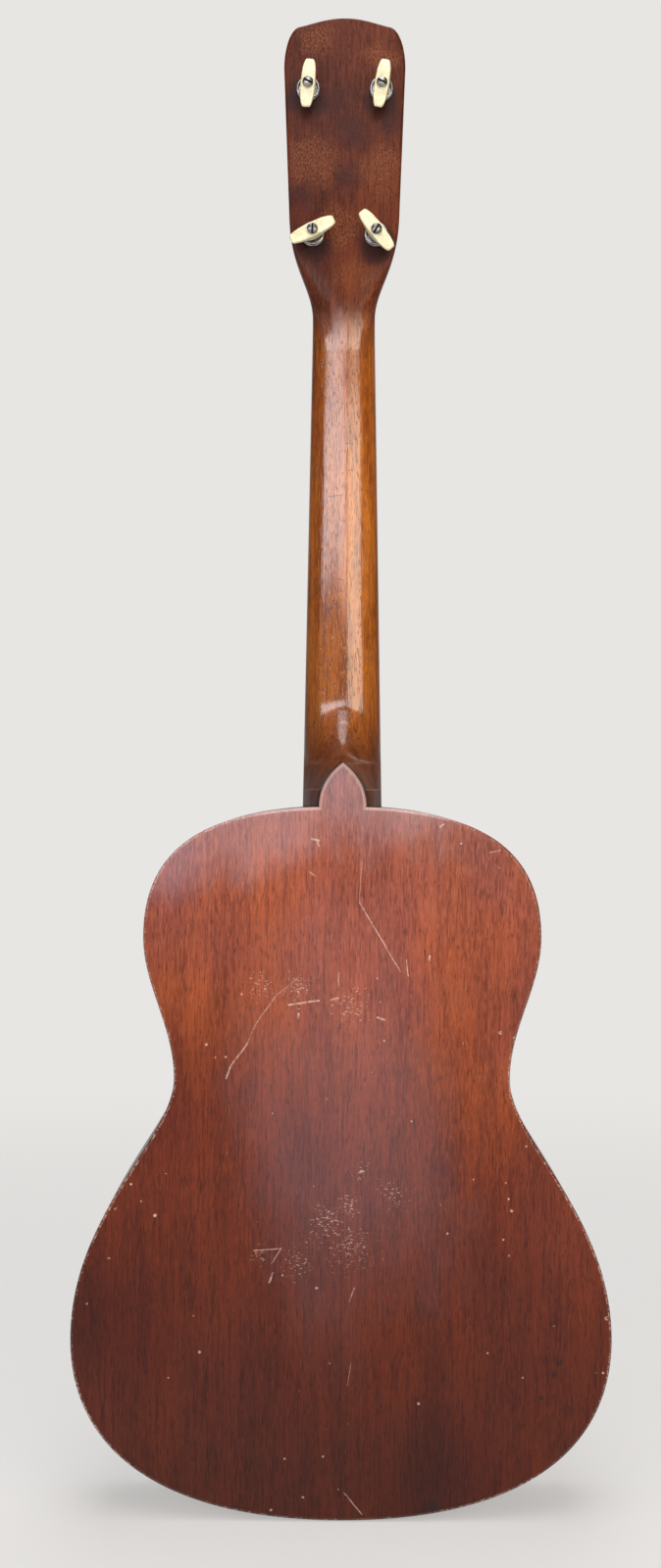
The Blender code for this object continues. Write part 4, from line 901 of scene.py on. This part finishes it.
def makeTop():
    # The soundboard: its outer edge rounded, the soundhole and the ring's groove sunk in it
    thickness, edge = bodyShape["topThickness"], bodyShape["topEdge"]
    rows = [(0, -thickness)] + [(inset, -depth) for inset, depth in edgeRows(edge)]
    rows.append((edge + bodyShape["wornBand"], bodyShape["faceLift"]))
    bm = loftSections(plateLoops(outline, rows), False)
    under = [e for e in bm.edges if all(v.co.y < 1e-6 - thickness for v in e.verts)]
    upper = [e for e in bm.edges if len(e.link_faces) == 1 and e not in under]
    centre = Vector((0, 0, bodyShape["soundholeZ"]))
    inner, outer = bodyShape["ringInner"] - gap, bodyShape["ringOuter"] + gap
    groove, hole = -(bodyShape["ringDepth"] + gap), bodyShape["soundhole"]
    bevel = bodyShape["holeEdge"]
    circle = bmesh.ops.create_circle(bm, radius=outer, segments=bodyShape["circleSteps"],
                                     matrix=Matrix.Translation(centre) @ turned(90, "X"))["verts"]
    ring = list({e for v in circle for e in v.link_edges})
    bmesh.ops.triangle_fill(bm, edges=upper + ring, use_beauty=True)
    for radius, depth in ((outer, groove), (inner, groove), (inner, 0), (hole + bevel, 0),
                          (hole, -bevel), (hole, -thickness)):
        made = bmesh.ops.extrude_edge_only(bm, edges=ring)
        verts = set(madeParts(made, bmesh.types.BMVert))
        for vert in verts:
            spoke = Vector((vert.co.x, 0, vert.co.z)) - centre
            vert.co = centre + spoke.normalized() * radius + Vector((0, depth, 0))
        ring = [e for e in madeParts(made, bmesh.types.BMEdge) if verts.issuperset(e.verts)]
    bmesh.ops.triangle_fill(bm, edges=under + ring, use_beauty=True)
    bmesh.ops.translate(bm, vec=(0, faceY, 0), verts=bm.verts)
    bmesh.ops.recalc_face_normals(bm, faces=bm.faces)
    mesh = rimAttribute(asMesh(bm, "bodyTop"),
                        lambda co: co.y < faceY - bodyShape["rimFrom"]
                        and (Vector((co.x, 0, co.z)) - centre).length > bodyShape["rimBeyond"])
    addPiece("bodyTop", mesh, topFinish, "body_mahogany", "top_plate")


def makeSides():
    # One bent strip per side; its UV runs along the rim, so the grain follows the bend
    frontY = faceY - bodyShape["topThickness"] - gap
    along = np.array(outline)
    travel = np.concatenate([[0], np.cumsum(np.hypot(*np.diff(along, axis=0).T))])
    middle = Vector((0, 0, (bodyTopZ + tailZ) / 2))
    for name, hand in (("Left", -1), ("Right", 1)):
        bm = bmesh.new()
        points = [(hand * max(x, gap / 2), frontY, z) for x, z in outline]
        made = bmesh.ops.extrude_edge_only(bm, edges=chain(bm, points, closed=False))
        for vert in madeParts(made, bmesh.types.BMVert):
            vert.co.y = insideBackY(vert.co.z)
        bmesh.ops.recalc_face_normals(bm, faces=bm.faces)
        first = bm.faces[:][0]
        if first.normal.dot(first.calc_center_median() - middle) < 0:
            bmesh.ops.reverse_faces(bm, faces=bm.faces)
        layer = bm.loops.layers.uv.new("grain")
        for loop in (loop for face in bm.faces for loop in face.loops):
            apart = np.hypot(*(along * (hand, 1) - (loop.vert.co.x, loop.vert.co.z)).T)
            loop[layer].uv = (travel[apart.argmin()], loop.vert.co.y)
        bmesh.ops.solidify(bm, geom=list(bm.faces), thickness=bodyShape["sideThickness"])
        bmesh.ops.recalc_face_normals(bm, faces=bm.faces)
        addPiece("bodySide" + name, bm, sideFinish, "body_mahogany", "side_" + name.lower())


def makeSoundholeRing():
    inner, outer, edge = bodyShape["ringInner"], bodyShape["ringOuter"], bodyShape["ringEdge"]
    bm = spun([(inner, -bodyShape["ringDepth"]), (outer, -bodyShape["ringDepth"]), (outer, -edge),
               (outer - edge, 0), (inner + edge, 0), (inner, -edge)],
              bodyShape["circleSteps"], (0, faceY, bodyShape["soundholeZ"]))
    addPiece("soundholeRing", bm, boneMaterial, "bone", "soundhole_ring")


# Neck, heel and headstock
neckShape = {
    "nutHalf": 0.0140,
    "bodyHalf": 0.0178,
    "depthAtNut": 0.0136,
    "depthAtHeel": 0.0152,
    "edgeHeight": 0.0012,
    "footHeight": 0.007,
    "footStep": 0.0006,
    "footPowers": (1.8, 1.15),
    "heelPowers": (2.7, 1.35),
    "sweepHeight": 0.029,
    "sweepReach": (0.05, 0.45, 0.22, 0.99),
    "headTopZ": 0.117,
    "headLowZ": 0.004,  # the headstock's plate reaches down to here before it is cut
    "flareStart": 0.0045,  # above the nut
    "flareEndZ": 0.024,
    "flareHalf": 0.0245,
    "topHalf": 0.0280,
    "flareReach": (0.30, 0.52),
    "flareSwell": (0.0004, 0.0018),
    "rampStartZ": -0.0152,
    "rampLength": 0.006,
    "headEdge": 0.0013,
    "blendBelowNut": 0.012,
    "boxedBelowJoin": 0.008,
    "joinZ": 0.0215,
    "joinStep": 0.0012,
    "crownRise": 0.0040,
    "shoulderX": 0.0205,
    "cornerDrop": 0.0185,
    "crownReach": (0.42, 0.70, 0.33),
    "cornerReach": (0.61, 0.514),
    "cornerFall": 0.0012,
    "flankSteps": 28,
    "cornerShare": 0.6,
    "pegHole": 0.0033,
}


def boardHalf(z):
    share = (nutZ - z) / (nutZ - bodyTopZ)
    return neckShape["nutHalf"] + (neckShape["bodyHalf"] - neckShape["nutHalf"]) * share


def headHalf(z):
    narrow, wide = neckShape["nutHalf"], neckShape["flareHalf"]
    start, end = nutZ + neckShape["flareStart"], neckShape["flareEndZ"]
    if z <= start:
        return narrow
    if z >= end:
        share = (z - end) / (neckShape["headTopZ"] - end)
        return wide + (neckShape["topHalf"] - wide) * share
    span = end - start
    reach, swell = neckShape["flareReach"], neckShape["flareSwell"]
    flare = np.array(bezier((start, narrow), (start + reach[0] * span, narrow + swell[0]),
                            (start + reach[1] * span, wide - swell[1]), (end, wide), 60))
    return float(np.interp(z, flare[:, 0], flare[:, 1]))


def neckSection(z, half, back, tailHalf=0, powers=(1, 1), front=faceY, boxed=0.0):
    # A cross-section, round backed where boxed is 0 and a rounded rectangle where it is 1
    edge, straight, steps = (neckShape[key] for key in ("headEdge", "edgeHeight", "flankSteps"))
    right = []
    for k, turn in enumerate(quarterTurns(4)):
        box = (half - edge * (1 - math.sin(turn)), front - edge * (1 - math.cos(turn)))
        right.append(((half, front - 0.0001 * k), box))
    for k, turn in enumerate(quarterTurns(steps)):
        share = k / steps
        x = tailHalf + (half - tailHalf) * max(math.cos(turn), 0) ** powers[0]
        y = front - straight - (front - straight - back) * math.sin(turn) ** powers[1]
        along = share / neckShape["cornerShare"]
        arc = 0.5 * math.pi * min(along, 1)
        across = half - edge * (1 - math.cos(arc))
        if along > 1:
            across = (half - edge) * (1 - share) / (1 - neckShape["cornerShare"])
        right.append(((x, y), (across, back + edge * (1 - math.sin(arc)))))
    points = [tuple(a + (b - a) * boxed for a, b in zip(*pair)) for pair in right]
    return [(x, y, z) for x, y in points + [(-x, y) for x, y in reversed(points)]]


def insideBackY(z):
    return backY(z) + bodyShape["backThickness"] + gap


def heelSections():
    button = np.array(heelButtonHalf(60))
    footTop, tipZ = bodyTopZ + neckShape["footHeight"], bodyTopZ + bodyShape["buttonHeight"]
    lowZ = bodyEdgeZ(2 * neckShape["bodyHalf"]) - gap
    sections = []
    for z in (*np.linspace(lowZ, footTop, 5),
              *np.linspace(footTop + neckShape["footStep"], tipZ, 12)):
        powers = neckShape["footPowers"] if z <= footTop else neckShape["heelPowers"]
        tailHalf = float(np.interp(z, button[:, 1], button[:, 0]))
        sections.append(neckSection(z, boardHalf(z), insideBackY(z), tailHalf, powers))
    deep, shallow = insideBackY(tipZ), faceY - neckShape["depthAtHeel"]
    fall, height, steps = shallow - deep, neckShape["sweepHeight"], 26
    lowRise, lowFall, highRise, highFall = neckShape["sweepReach"]
    sweep = bezier((tipZ, deep), (tipZ + lowRise * height, deep + lowFall * fall),
                   (tipZ + highRise * height, deep + highFall * fall), (tipZ + height, shallow),
                   steps)
    for k, (z, back) in enumerate(sweep[1:], start=1):
        powers = [power + (1 - power) * eased(k / steps) for power in neckShape["heelPowers"]]
        sections.append(neckSection(z, boardHalf(z), back, 0, powers))
    return sections


def shaftSections(startZ, endZ):
    sections = []
    for share in np.linspace(0, 1, 14)[1:-1]:
        z = startZ + (endZ - startZ) * share
        depth = neckShape["depthAtHeel"]
        depth += (neckShape["depthAtNut"] - depth) * share
        sections.append(neckSection(z, boardHalf(z), faceY - depth))
    return sections


def throatSections(startZ):
    # From the round shaft to the squared headstock
    rampStart, length, joinZ = (neckShape[key] for key in ("rampStartZ", "rampLength", "joinZ"))
    rampEnd = rampStart + length
    boxedZ = joinZ - neckShape["boxedBelowJoin"]
    sections = []
    for z in (*np.linspace(startZ, nutZ, 6), *np.linspace(rampStart, rampEnd, 4),
              *np.linspace(rampEnd, joinZ - neckShape["joinStep"], 18)[1:]):
        boxed = eased((z - startZ) / (boxedZ - startZ))
        back = faceY - neckShape["depthAtNut"]
        back += (levels["headBackY"] - back) * eased((z - startZ) / (rampEnd - startZ))
        front = levels["headFrontY"]
        front += (faceY - front) * min(max((rampEnd - z) / length, 0), 1)
        half = boardHalf(z) if z < nutZ else headHalf(z)
        sections.append(neckSection(z, half, back, front=front, boxed=boxed))
    return sections


def headstockHalf():
    # The headstock's half outline in (x, z), from the middle of its crown down past the join
    topZ, rise, shoulderX, drop = (neckShape[key] for key in ("headTopZ", "crownRise", "shoulderX",
                                                              "cornerDrop"))
    shoulderZ = topZ - rise
    cornerZ = shoulderZ - drop
    half = headHalf(cornerZ)
    middle, outer, high = neckShape["crownReach"]
    crown = bezier((0, topZ), (middle * shoulderX, topZ),
                   (outer * shoulderX, shoulderZ + high * rise), (shoulderX, shoulderZ), 24)
    reach, low = neckShape["cornerReach"]
    corner = bezier((shoulderX, shoulderZ), (shoulderX + reach * (half - shoulderX),
                                             shoulderZ - neckShape["cornerFall"]),
                    (half, shoulderZ - low * drop), (half, cornerZ), 14)
    lowZ = neckShape["headLowZ"]
    flank = [(headHalf(z), z) for z in np.linspace(cornerZ, lowZ, 26)[1:]]
    return crown + corner[1:] + flank + [(0, lowZ)]


def bodyEdgeTool():
    # The body under the heel, which the heel's foot is cut to
    edge = [p for p in outline if p[0] < 2 * neckShape["bodyHalf"]]
    under = -0.27  # anywhere below the foot
    loop = fullLoop([(x, z + gap) for x, z in edge] + [(edge[-1][0], under), (0, under)])
    return loftSections([[(x, y, z) for x, z in loop] for y in (0.1, -0.1)])


def makeNeck():
    # The headstock as a rounded plate, cut square at the join, then the shaft bridged to it
    front, back, edge = levels["headFrontY"], levels["headBackY"], neckShape["headEdge"]
    rows = [(inset, front - depth) for inset, depth in reversed(edgeRows(edge))]
    rows += [(inset, back + depth) for inset, depth in edgeRows(edge)]
    bm = loftSections(plateLoops(headstockHalf(), rows))
    bmesh.ops.bisect_plane(bm, geom=bm.verts[:] + bm.edges[:] + bm.faces[:], dist=1e-7,
                           plane_co=(0, 0, neckShape["joinZ"]), plane_no=(0, 0, 1),
                           clear_inner=True)
    joint = [e for e in bm.edges if len(e.link_faces) == 1]
    heel = heelSections()
    headStart = nutZ - neckShape["blendBelowNut"]
    sections = heel + shaftSections(heel[-1][0][2], headStart) + throatSections(headStart)
    loops = [chain(bm, points) for points in sections]
    bmesh.ops.contextual_create(bm, geom=loops[0])
    for low, high in zip(loops, loops[1:] + [joint]):
        bmesh.ops.bridge_loops(bm, edges=low + high)
    weld(bm, 2e-6)
    mesh = carved(asMesh(bm, "neck"), bodyEdgeTool())
    for x, z in pegPlaces.values():
        profile = [(0, -0.02), (neckShape["pegHole"], -0.02), (neckShape["pegHole"], 0.02),
                   (0, 0.02)]
        mesh = carved(mesh, spun(profile, 48, (x, 0, z), closed=False))
    addPiece("neckCarved", mesh, neckFinish, "neck_mahogany", "neck", smoothAngle=38)


boardShape = {
    "endZ": -0.29568,
    "bevel": 0.0004,
    "dotFrets": (5, 7, 10, 12, 15),
    "dotRadius": 0.0024,
    "dotHeight": 0.00016,
    "pairX": 0.0085,  # the two dots at the twelfth fret
    "fretHeight": 0.0009,
    "fretHalf": 0.0010,
    "fretRounding": 0.92,
    "fretLean": 0.7,  # the slope of a fret's ends
}


def makeFretboard():
    bm = blockShape((-1, faceY + gap, boardShape["endZ"]), (1, boardTopY, nutZ))
    for vert in bm.verts:
        vert.co.x *= boardHalf(vert.co.z)
    bevelEdges(bm, [e for e in bm.edges if all(v.co.y > boardTopY - 1e-5 for v in e.verts)],
               boardShape["bevel"])
    addPiece("fretboardPlayed", bm, rosewoodMaterial, "rosewood", "fretboard")
    dots, radius, pairX = bmesh.new(), boardShape["dotRadius"], boardShape["pairX"]
    for number in boardShape["dotFrets"]:
        z = (fretZ(number) + fretZ(number - 1)) / 2
        for x in (-pairX, pairX) if number == 12 else (0,):
            place = Matrix.Translation((x, boardTopY, z)) @ turned(90, "X")
            bmesh.ops.create_cone(dots, cap_ends=True, segments=32, radius1=radius,
                                  radius2=radius, depth=boardShape["dotHeight"], matrix=place)
    addPiece("fretboardDots", dots, boneMaterial, "bone")


def makeFrets():
    seatY, wide = boardTopY + gap, boardShape["fretHalf"]
    for number in range(1, 18):
        z = fretZ(number)
        half = boardHalf(z)
        bm = blockShape((-half, boardTopY - 0.0001, z - wide),
                        (half, seatY + boardShape["fretHeight"], z + wide))
        crown = [e for e in bm.edges if all(v.co.y > seatY for v in e.verts)
                 and abs(e.verts[0].co.z - e.verts[1].co.z) < 1e-6]
        bevelEdges(bm, crown, wide * boardShape["fretRounding"], 6)
        for vert in bm.verts:
            if vert.co.y > seatY + 0.0002:
                lean = boardShape["fretLean"] * (vert.co.y - seatY)
                vert.co.x -= math.copysign(lean, vert.co.x)
        addPiece(f"fretWire{number:02d}", bm, fretMaterial, "fret_wire", f"fret_{number:02d}")


def softenedCopy(node, name, width, finish, slotName, degrees=35):
    # The CAD node's own shape with its edges rounded
    bm = bmesh.new()
    bm.from_mesh(nodes[node].data)
    bmesh.ops.remove_doubles(bm, verts=bm.verts, dist=1e-6)
    bmesh.ops.dissolve_limit(bm, angle_limit=math.radians(1), verts=bm.verts, edges=bm.edges)
    bevelEdges(bm, [e for e in bm.edges if len(e.link_faces) == 2
                    and e.calc_face_angle(0) > math.radians(degrees)], width)
    bmesh.ops.recalc_face_normals(bm, faces=bm.faces)
    addPiece(name, bm, finish, slotName, node)


# Strings: the CAD's routes with finer turns
stringSet = {
    "diameters": {"g": 0.00072, "c": 0.00091, "e": 0.00081, "a": 0.00064},
    "spreadAtNut": 0.0212,
    "spreadAtSaddle": 0.0375,
    "turns": 3,
    "windingGap": 0.00045,
    "stepsPerTurn": 48,
    "lowAtNut": 0.0146,
    "nutFlat": 0.002,
    "saddleRadius": 0.0012,
    "saddleTopY": 0.0186,
    "knotHeight": 0.0021,
    "knotSpacing": 0.0006,
    "knotSwells": (1.0, 2.0, 2.5, 2.0, 0.9),
}


def bridgeEnd(x, radius):
    bend = stringSet["saddleRadius"] + gap + radius
    centreY, spacing = stringSet["saddleTopY"] - stringSet["saddleRadius"], stringSet["knotSpacing"]
    arc = []
    for turn in map(math.radians, range(135, 89, -5)):
        arc.append((x, centreY + bend * math.sin(turn), saddleZ + bend * math.cos(turn)))
    knotY = faceY + gap + stringSet["knotHeight"]
    drop = arc[0][1] - knotY - spacing
    slopeEnd = (x, arc[0][1] - drop, arc[0][2] - drop)
    knot = [((x, knotY, slopeEnd[2] - step * spacing), swell)
            for step, swell in enumerate(stringSet["knotSwells"], start=1)]
    return knot[::-1] + [(slopeEnd, 1.0)] + [(point, 1.0) for point in arc]


def winding(name, radius, nutPoint):
    postX, postZ = pegPlaces[name]
    hand = 1 if postX > 0 else -1
    coil = pegShape["barrel"] + gap + radius
    across, along = postX - nutPoint[0], postZ - nutPoint[2]
    heading = math.atan2(along, across) + hand * math.asin(coil / math.hypot(across, along))
    start = heading + hand * math.pi / 2
    pitch, lowY = 2 * radius + stringSet["windingGap"], pegShape["barrelY"] + gap + radius
    points, steps = [], stringSet["stepsPerTurn"]
    for k in range(stringSet["turns"] * steps + 1):
        angle = start - hand * 2 * math.pi * k / steps
        points.append((postX + coil * math.cos(angle), lowY + pitch * k / steps,
                       postZ + coil * math.sin(angle)))
    return points


def makeStrings():
    for index, (name, diameter) in enumerate(stringSet["diameters"].items()):
        radius, side = diameter / 2, 0.5 - index / 3
        x, y = stringSet["spreadAtNut"] * side, stringSet["lowAtNut"] + radius
        nutPoint = (x, y, nutZ + stringSet["nutFlat"])
        route = bridgeEnd(stringSet["spreadAtSaddle"] * side, radius)
        route += [(point, 1.0) for point in ((x, y, nutZ), nutPoint,
                                             *winding(name, radius, nutPoint))]
        curve = bpy.data.curves.new("string", "CURVE")
        curve.dimensions = "3D"
        curve.bevel_depth = radius
        curve.bevel_resolution = 4
        curve.use_fill_caps = True
        spline = curve.splines.new("POLY")
        spline.points.add(len(route) - 1)
        for point, (place, swell) in zip(spline.points, route):
            point.co = (*place, 1)
            point.radius = swell
        holder = bpy.data.objects.new("string", curve)
        mesh = bpy.data.meshes.new_from_object(holder)
        bpy.data.objects.remove(holder)
        addPiece("string" + name.upper(), mesh, nylonMaterial, "string", "string_" + name,
                 smoothAngle=60)


# Friction pegs
pegShape = {
    "collarSeatY": -0.00605,
    "collarHeight": 0.0040,
    "collarOuter": 0.0051,
    "collarWall": 0.0009,
    "collarFloor": 0.0012,
    "bore": 0.0033,
    "buttonBaseY": -0.01085,
    "buttonHeight": 0.0078,
    "buttonHalfLength": 0.01075,
    "buttonHalfWidth": 0.0034,
    # height share, then length and width against the wing's
    "buttonRows": ((0.0, 0.39, 0.86), (0.03, 0.40, 0.95), (0.18, 0.42, 1.0), (0.40, 0.66, 1.0),
                   (0.58, 0.88, 1.0), (0.78, 1.0, 1.0), (0.88, 0.996, 0.985),
                   (0.95, 0.98, 0.94), (0.99, 0.955, 0.86), (1.0, 0.92, 0.76)),
    "bossPower": 0.9,
    "wingPower": 0.3,
    "narrowing": 0.34,
    "dome": 0.0009,
    "screwShaft": 0.0012,
    "screwLength": 0.004,
    "headRadius": 0.0024,
    "headHeight": 0.0017,
    "headRim": 0.00034,
    "slotWidth": 0.0009,
    "slotDepth": 0.0012,
    "shaft": 0.0030,
    "barrel": 0.0027,
    "flange": 0.0050,
    "flangeY": 0.00605,
    "barrelY": 0.00725,
    "barrelLength": 0.0082,
    "capLength": 0.0029,
    "capDome": 0.0019,
    "stringHole": 0.0008,
    "stringHoleDrop": 0.0016,  # below the barrel's end
    # degrees from +X towards +Z at rest
    "headings": {"g": -51.5, "c": 81.0, "e": 85.0, "a": 26.0},
    "slots": {"g": 60.0, "c": -28.0, "e": -27.0, "a": 88.0},
}


def collarShape():
    p = pegShape
    seat, outer, bore = p["collarSeatY"], p["collarOuter"], p["bore"]
    rimY, inner, floorY = seat - p["collarHeight"], outer - p["collarWall"], seat - p["collarFloor"]
    waist, lip = outer - 0.0003, outer - 0.0001
    return spun([(bore, seat), (outer, seat), (outer, seat - 0.0008), (waist, seat - 0.0011),
                 (waist, rimY + 0.0009), (lip, rimY + 0.0006), (outer, rimY + 0.0004),
                 (lip, rimY + 0.0001), (waist, rimY), (inner + 0.0003, rimY),
                 (inner + 0.00008, rimY + 0.0001), (inner, rimY + 0.0004), (inner, floorY),
                 (bore, floorY)], 64)


def buttonShape():
    # Rounded sections stacked from the boss up to a long wing with a domed top
    p = pegShape
    sections = []
    for share, long, wide in p["buttonRows"]:
        power = p["bossPower"] + (p["wingPower"] - p["bossPower"]) * long
        section = []
        for k in range(64):
            angle = 2 * math.pi * k / 64
            x, z = (math.copysign(abs(part) ** power, part)
                    for part in (math.cos(angle), math.sin(angle)))
            dome = p["dome"] * share ** 3 * (long * x) ** 2
            narrow = 1 - p["narrowing"] * long * x * x
            section.append((p["buttonHalfLength"] * long * x,
                            p["buttonBaseY"] - share * p["buttonHeight"] + dome,
                            p["buttonHalfWidth"] * wide * z * narrow))
        sections.append(section)
    return asMesh(loftSections(sections), "button")


def screwShape():
    p = pegShape
    seatY = p["buttonBaseY"] - p["buttonHeight"] - gap
    head, rim, half, shaft = p["headRadius"], p["headRim"], p["slotWidth"] / 2, p["screwShaft"]
    endY, topY = seatY + p["screwLength"], seatY - p["headHeight"]
    profile = [(0, endY), (shaft, endY), (shaft, seatY), (head - 0.0001, seatY),
               (head, seatY - 0.0001)]
    profile += [(head * math.cos(turn), seatY - rim - (p["headHeight"] - rim) * math.sin(turn))
                for turn in quarterTurns(12)]
    slot = blockShape((-0.004, topY - 0.001, -half), (0.004, topY + p["slotDepth"], half))
    mesh = carved(asMesh(spun(profile, 48, closed=False), "screw"), slot)
    inSlot = mesh.attributes.new("slot", "FLOAT", "FACE")
    for face in mesh.polygons:
        x, y, z = face.center
        inSlot.data[face.index].value = float(abs(z) < half + 0.00001 and y < seatY)
    return mesh


def postShape():
    p = pegShape
    shaft, barrel, flange, barrelY = p["shaft"], p["barrel"], p["flange"], p["barrelY"]
    endY, capY = p["buttonBaseY"] + gap, barrelY + p["barrelLength"]
    domeY = capY + p["capLength"]
    profile = [(0, endY), (shaft, endY), (shaft, p["flangeY"]), (flange, p["flangeY"]),
               (flange, barrelY - 0.0005), (flange - 0.00015, barrelY - 0.00015),
               (flange - 0.0005, barrelY), (barrel, barrelY), (barrel, capY),
               (shaft, capY + 0.0006), (shaft, domeY)]
    profile += [(shaft * math.cos(turn), domeY + p["capDome"] * math.sin(turn))
                for turn in quarterTurns(8)[1:]]
    hole, radius = bmesh.new(), p["stringHole"]
    place = Matrix.Translation((0, capY - p["stringHoleDrop"], 0))
    bmesh.ops.create_cone(hole, cap_ends=True, segments=24, radius1=radius, radius2=radius,
                          depth=0.012, matrix=place)
    return carved(asMesh(spun(profile, 48, closed=False), "post"), hole)


def makePegs():
    for name, (x, z) in pegPlaces.items():
        body, mark, place = "peg_" + name, name.upper(), Matrix.Translation((x, 0, z))
        heading = place @ turned(-pegShape["headings"][name], "Y")
        collar = asMesh(collarShape(), "collar")
        collar.transform(place)
        addPiece("collar" + mark, collar, nickelMaterial, "nickel", "collar_" + name)
        post, button, screw = postShape(), buttonShape(), screwShape()
        post.transform(heading)
        addPiece("post" + mark, post, nickelMaterial, "nickel", "post_" + name, body=body)
        button.transform(heading)
        wing = addPiece("button" + mark, button, celluloidMaterial, "cream_celluloid",
                        "button_" + name, body=body, smoothAngle=50)
        smooth = wing.modifiers.new("smooth", "SUBSURF")
        smooth.levels = smooth.render_levels = 1
        screw.transform(place @ turned(-pegShape["slots"][name], "Y"))
        addPiece("screw" + mark, screw, steelMaterial, "screw_steel", "screw_" + name, body=body)


def seenRays(tree):
    # 1 for the rays that should meet the pale background
    rays = tree.nodes.new("ShaderNodeLightPath").outputs
    camera, glossy, through = (Output(tree, rays[f"Is {kind} Ray"])
                               for kind in ("Camera", "Glossy", "Transmission"))
    return camera | glossy | through


def makeStage():
    floor = Finish("paleFloor", Roughness=0.8)
    tree, centre = floor.tree, (0, 0, studio["floorZ"])
    tone = floor.noise(3.0).fade(0.2, 0.8, 0.0, 0.5)
    floor.give(Base_Color=floor.mix(tone, *studio["floorTones"]))
    away = floor.here.distance(centre)
    share = away.fade(*studio["floorSeenTo"], studio["floorShare"], 1.0) * seenRays(tree)
    glow = floor.add("Emission", {"Color": studio["backdrop"], "Strength": 1.0})
    both = floor.add("MixShader", {0: share, 1: Output(tree, floor.shader.outputs[0]), 2: glow})
    fillSocket(tree, tree.nodes["Material Output"].inputs["Surface"], both)
    bm = bmesh.new()
    bmesh.ops.create_circle(bm, cap_ends=True, segments=96, radius=studio["floorRadius"],
                            matrix=Matrix.Translation(centre))
    mesh = asMesh(bm, "floor")
    mesh.materials.append(floor.material)
    ground = addObject("floor", mesh)

    world = bpy.data.worlds.new("studio")
    scene.world = world
    world.use_nodes = True
    tree = world.node_tree
    tree.nodes.clear()
    add = partial(addNode, tree)
    camera = add("LightPath", {}, "Is Camera Ray")
    light = add("Background", {"Color": (1, 1, 1), "Strength": studio["ambient"]})
    # reflections find the backdrop pale behind the instrument and dim beside the camera
    ahead = add("SeparateXYZ", {0: add("TexCoord", {}, "Generated")}, "Y")
    dim = ahead.fade(*studio["reflected"], kind="LINEAR")
    backdrop = add("Background", {"Color": studio["backdrop"], "Strength": dim | camera})
    both = add("MixShader", {0: seenRays(tree), 1: light, 2: backdrop})
    output = tree.nodes.new("ShaderNodeOutputWorld")
    fillSocket(tree, output.inputs["Surface"], both)


makeCamera()
makeLamps()
makeStage()
print("camera, lamps and stage")

backFinish = lacqueredBack()
topFinish = lacqueredPlate("mahoganyTop", ((0.19, 0.040, 0.016), (0.30, 0.066, 0.024)), 0.36)
sideFinish = lacqueredPlate("mahoganySides", ((0.085, 0.019, 0.009), (0.150, 0.034, 0.014)), 0.38,
                            "UV")
neckFinish = lacqueredNeck()
rawFinish = rawWood()
rosewoodMaterial = rosewoodFinish()
boneMaterial = boneFinish()
celluloidMaterial = celluloidFinish()
nickelMaterial = metalFinish("nickelPlate", (0.50, 0.49, 0.47), (0.24, 0.23, 0.22), 0.22, 0.6)
steelMaterial = metalFinish("screwSteel", (0.36, 0.35, 0.34), (0.12, 0.118, 0.115), 0.25, 0.6,
                            slotted=True)
fretMaterial = metalFinish("fretWire", (0.66, 0.64, 0.58), (0.48, 0.45, 0.38), 0.22, 0.3)
nylonMaterial = nylonFinish()
print("materials")

makeBack()
makeTop()
makeSides()
makeSoundholeRing()
print("body")
makeNeck()
print("neck")
makeFretboard()
makeFrets()
softenedCopy("nut", "nutBone", 0.00012, boneMaterial, "bone")
softenedCopy("saddle", "saddleBone", 0.00012, boneMaterial, "bone", 50)
softenedCopy("bridge", "bridgeCarved", 0.0002, rosewoodMaterial, "rosewood")
print("fretboard, nut and bridge")
makeStrings()
print("strings")
makePegs()
print("pegs")

# inner woods keep their CAD shape and get raw mahogany
for name, item in nodes.items():
    if not item.hide_render:
        item.data.materials.clear()
        item.data.materials.append(rawFinish)

scene.view_settings.view_transform = "Standard"
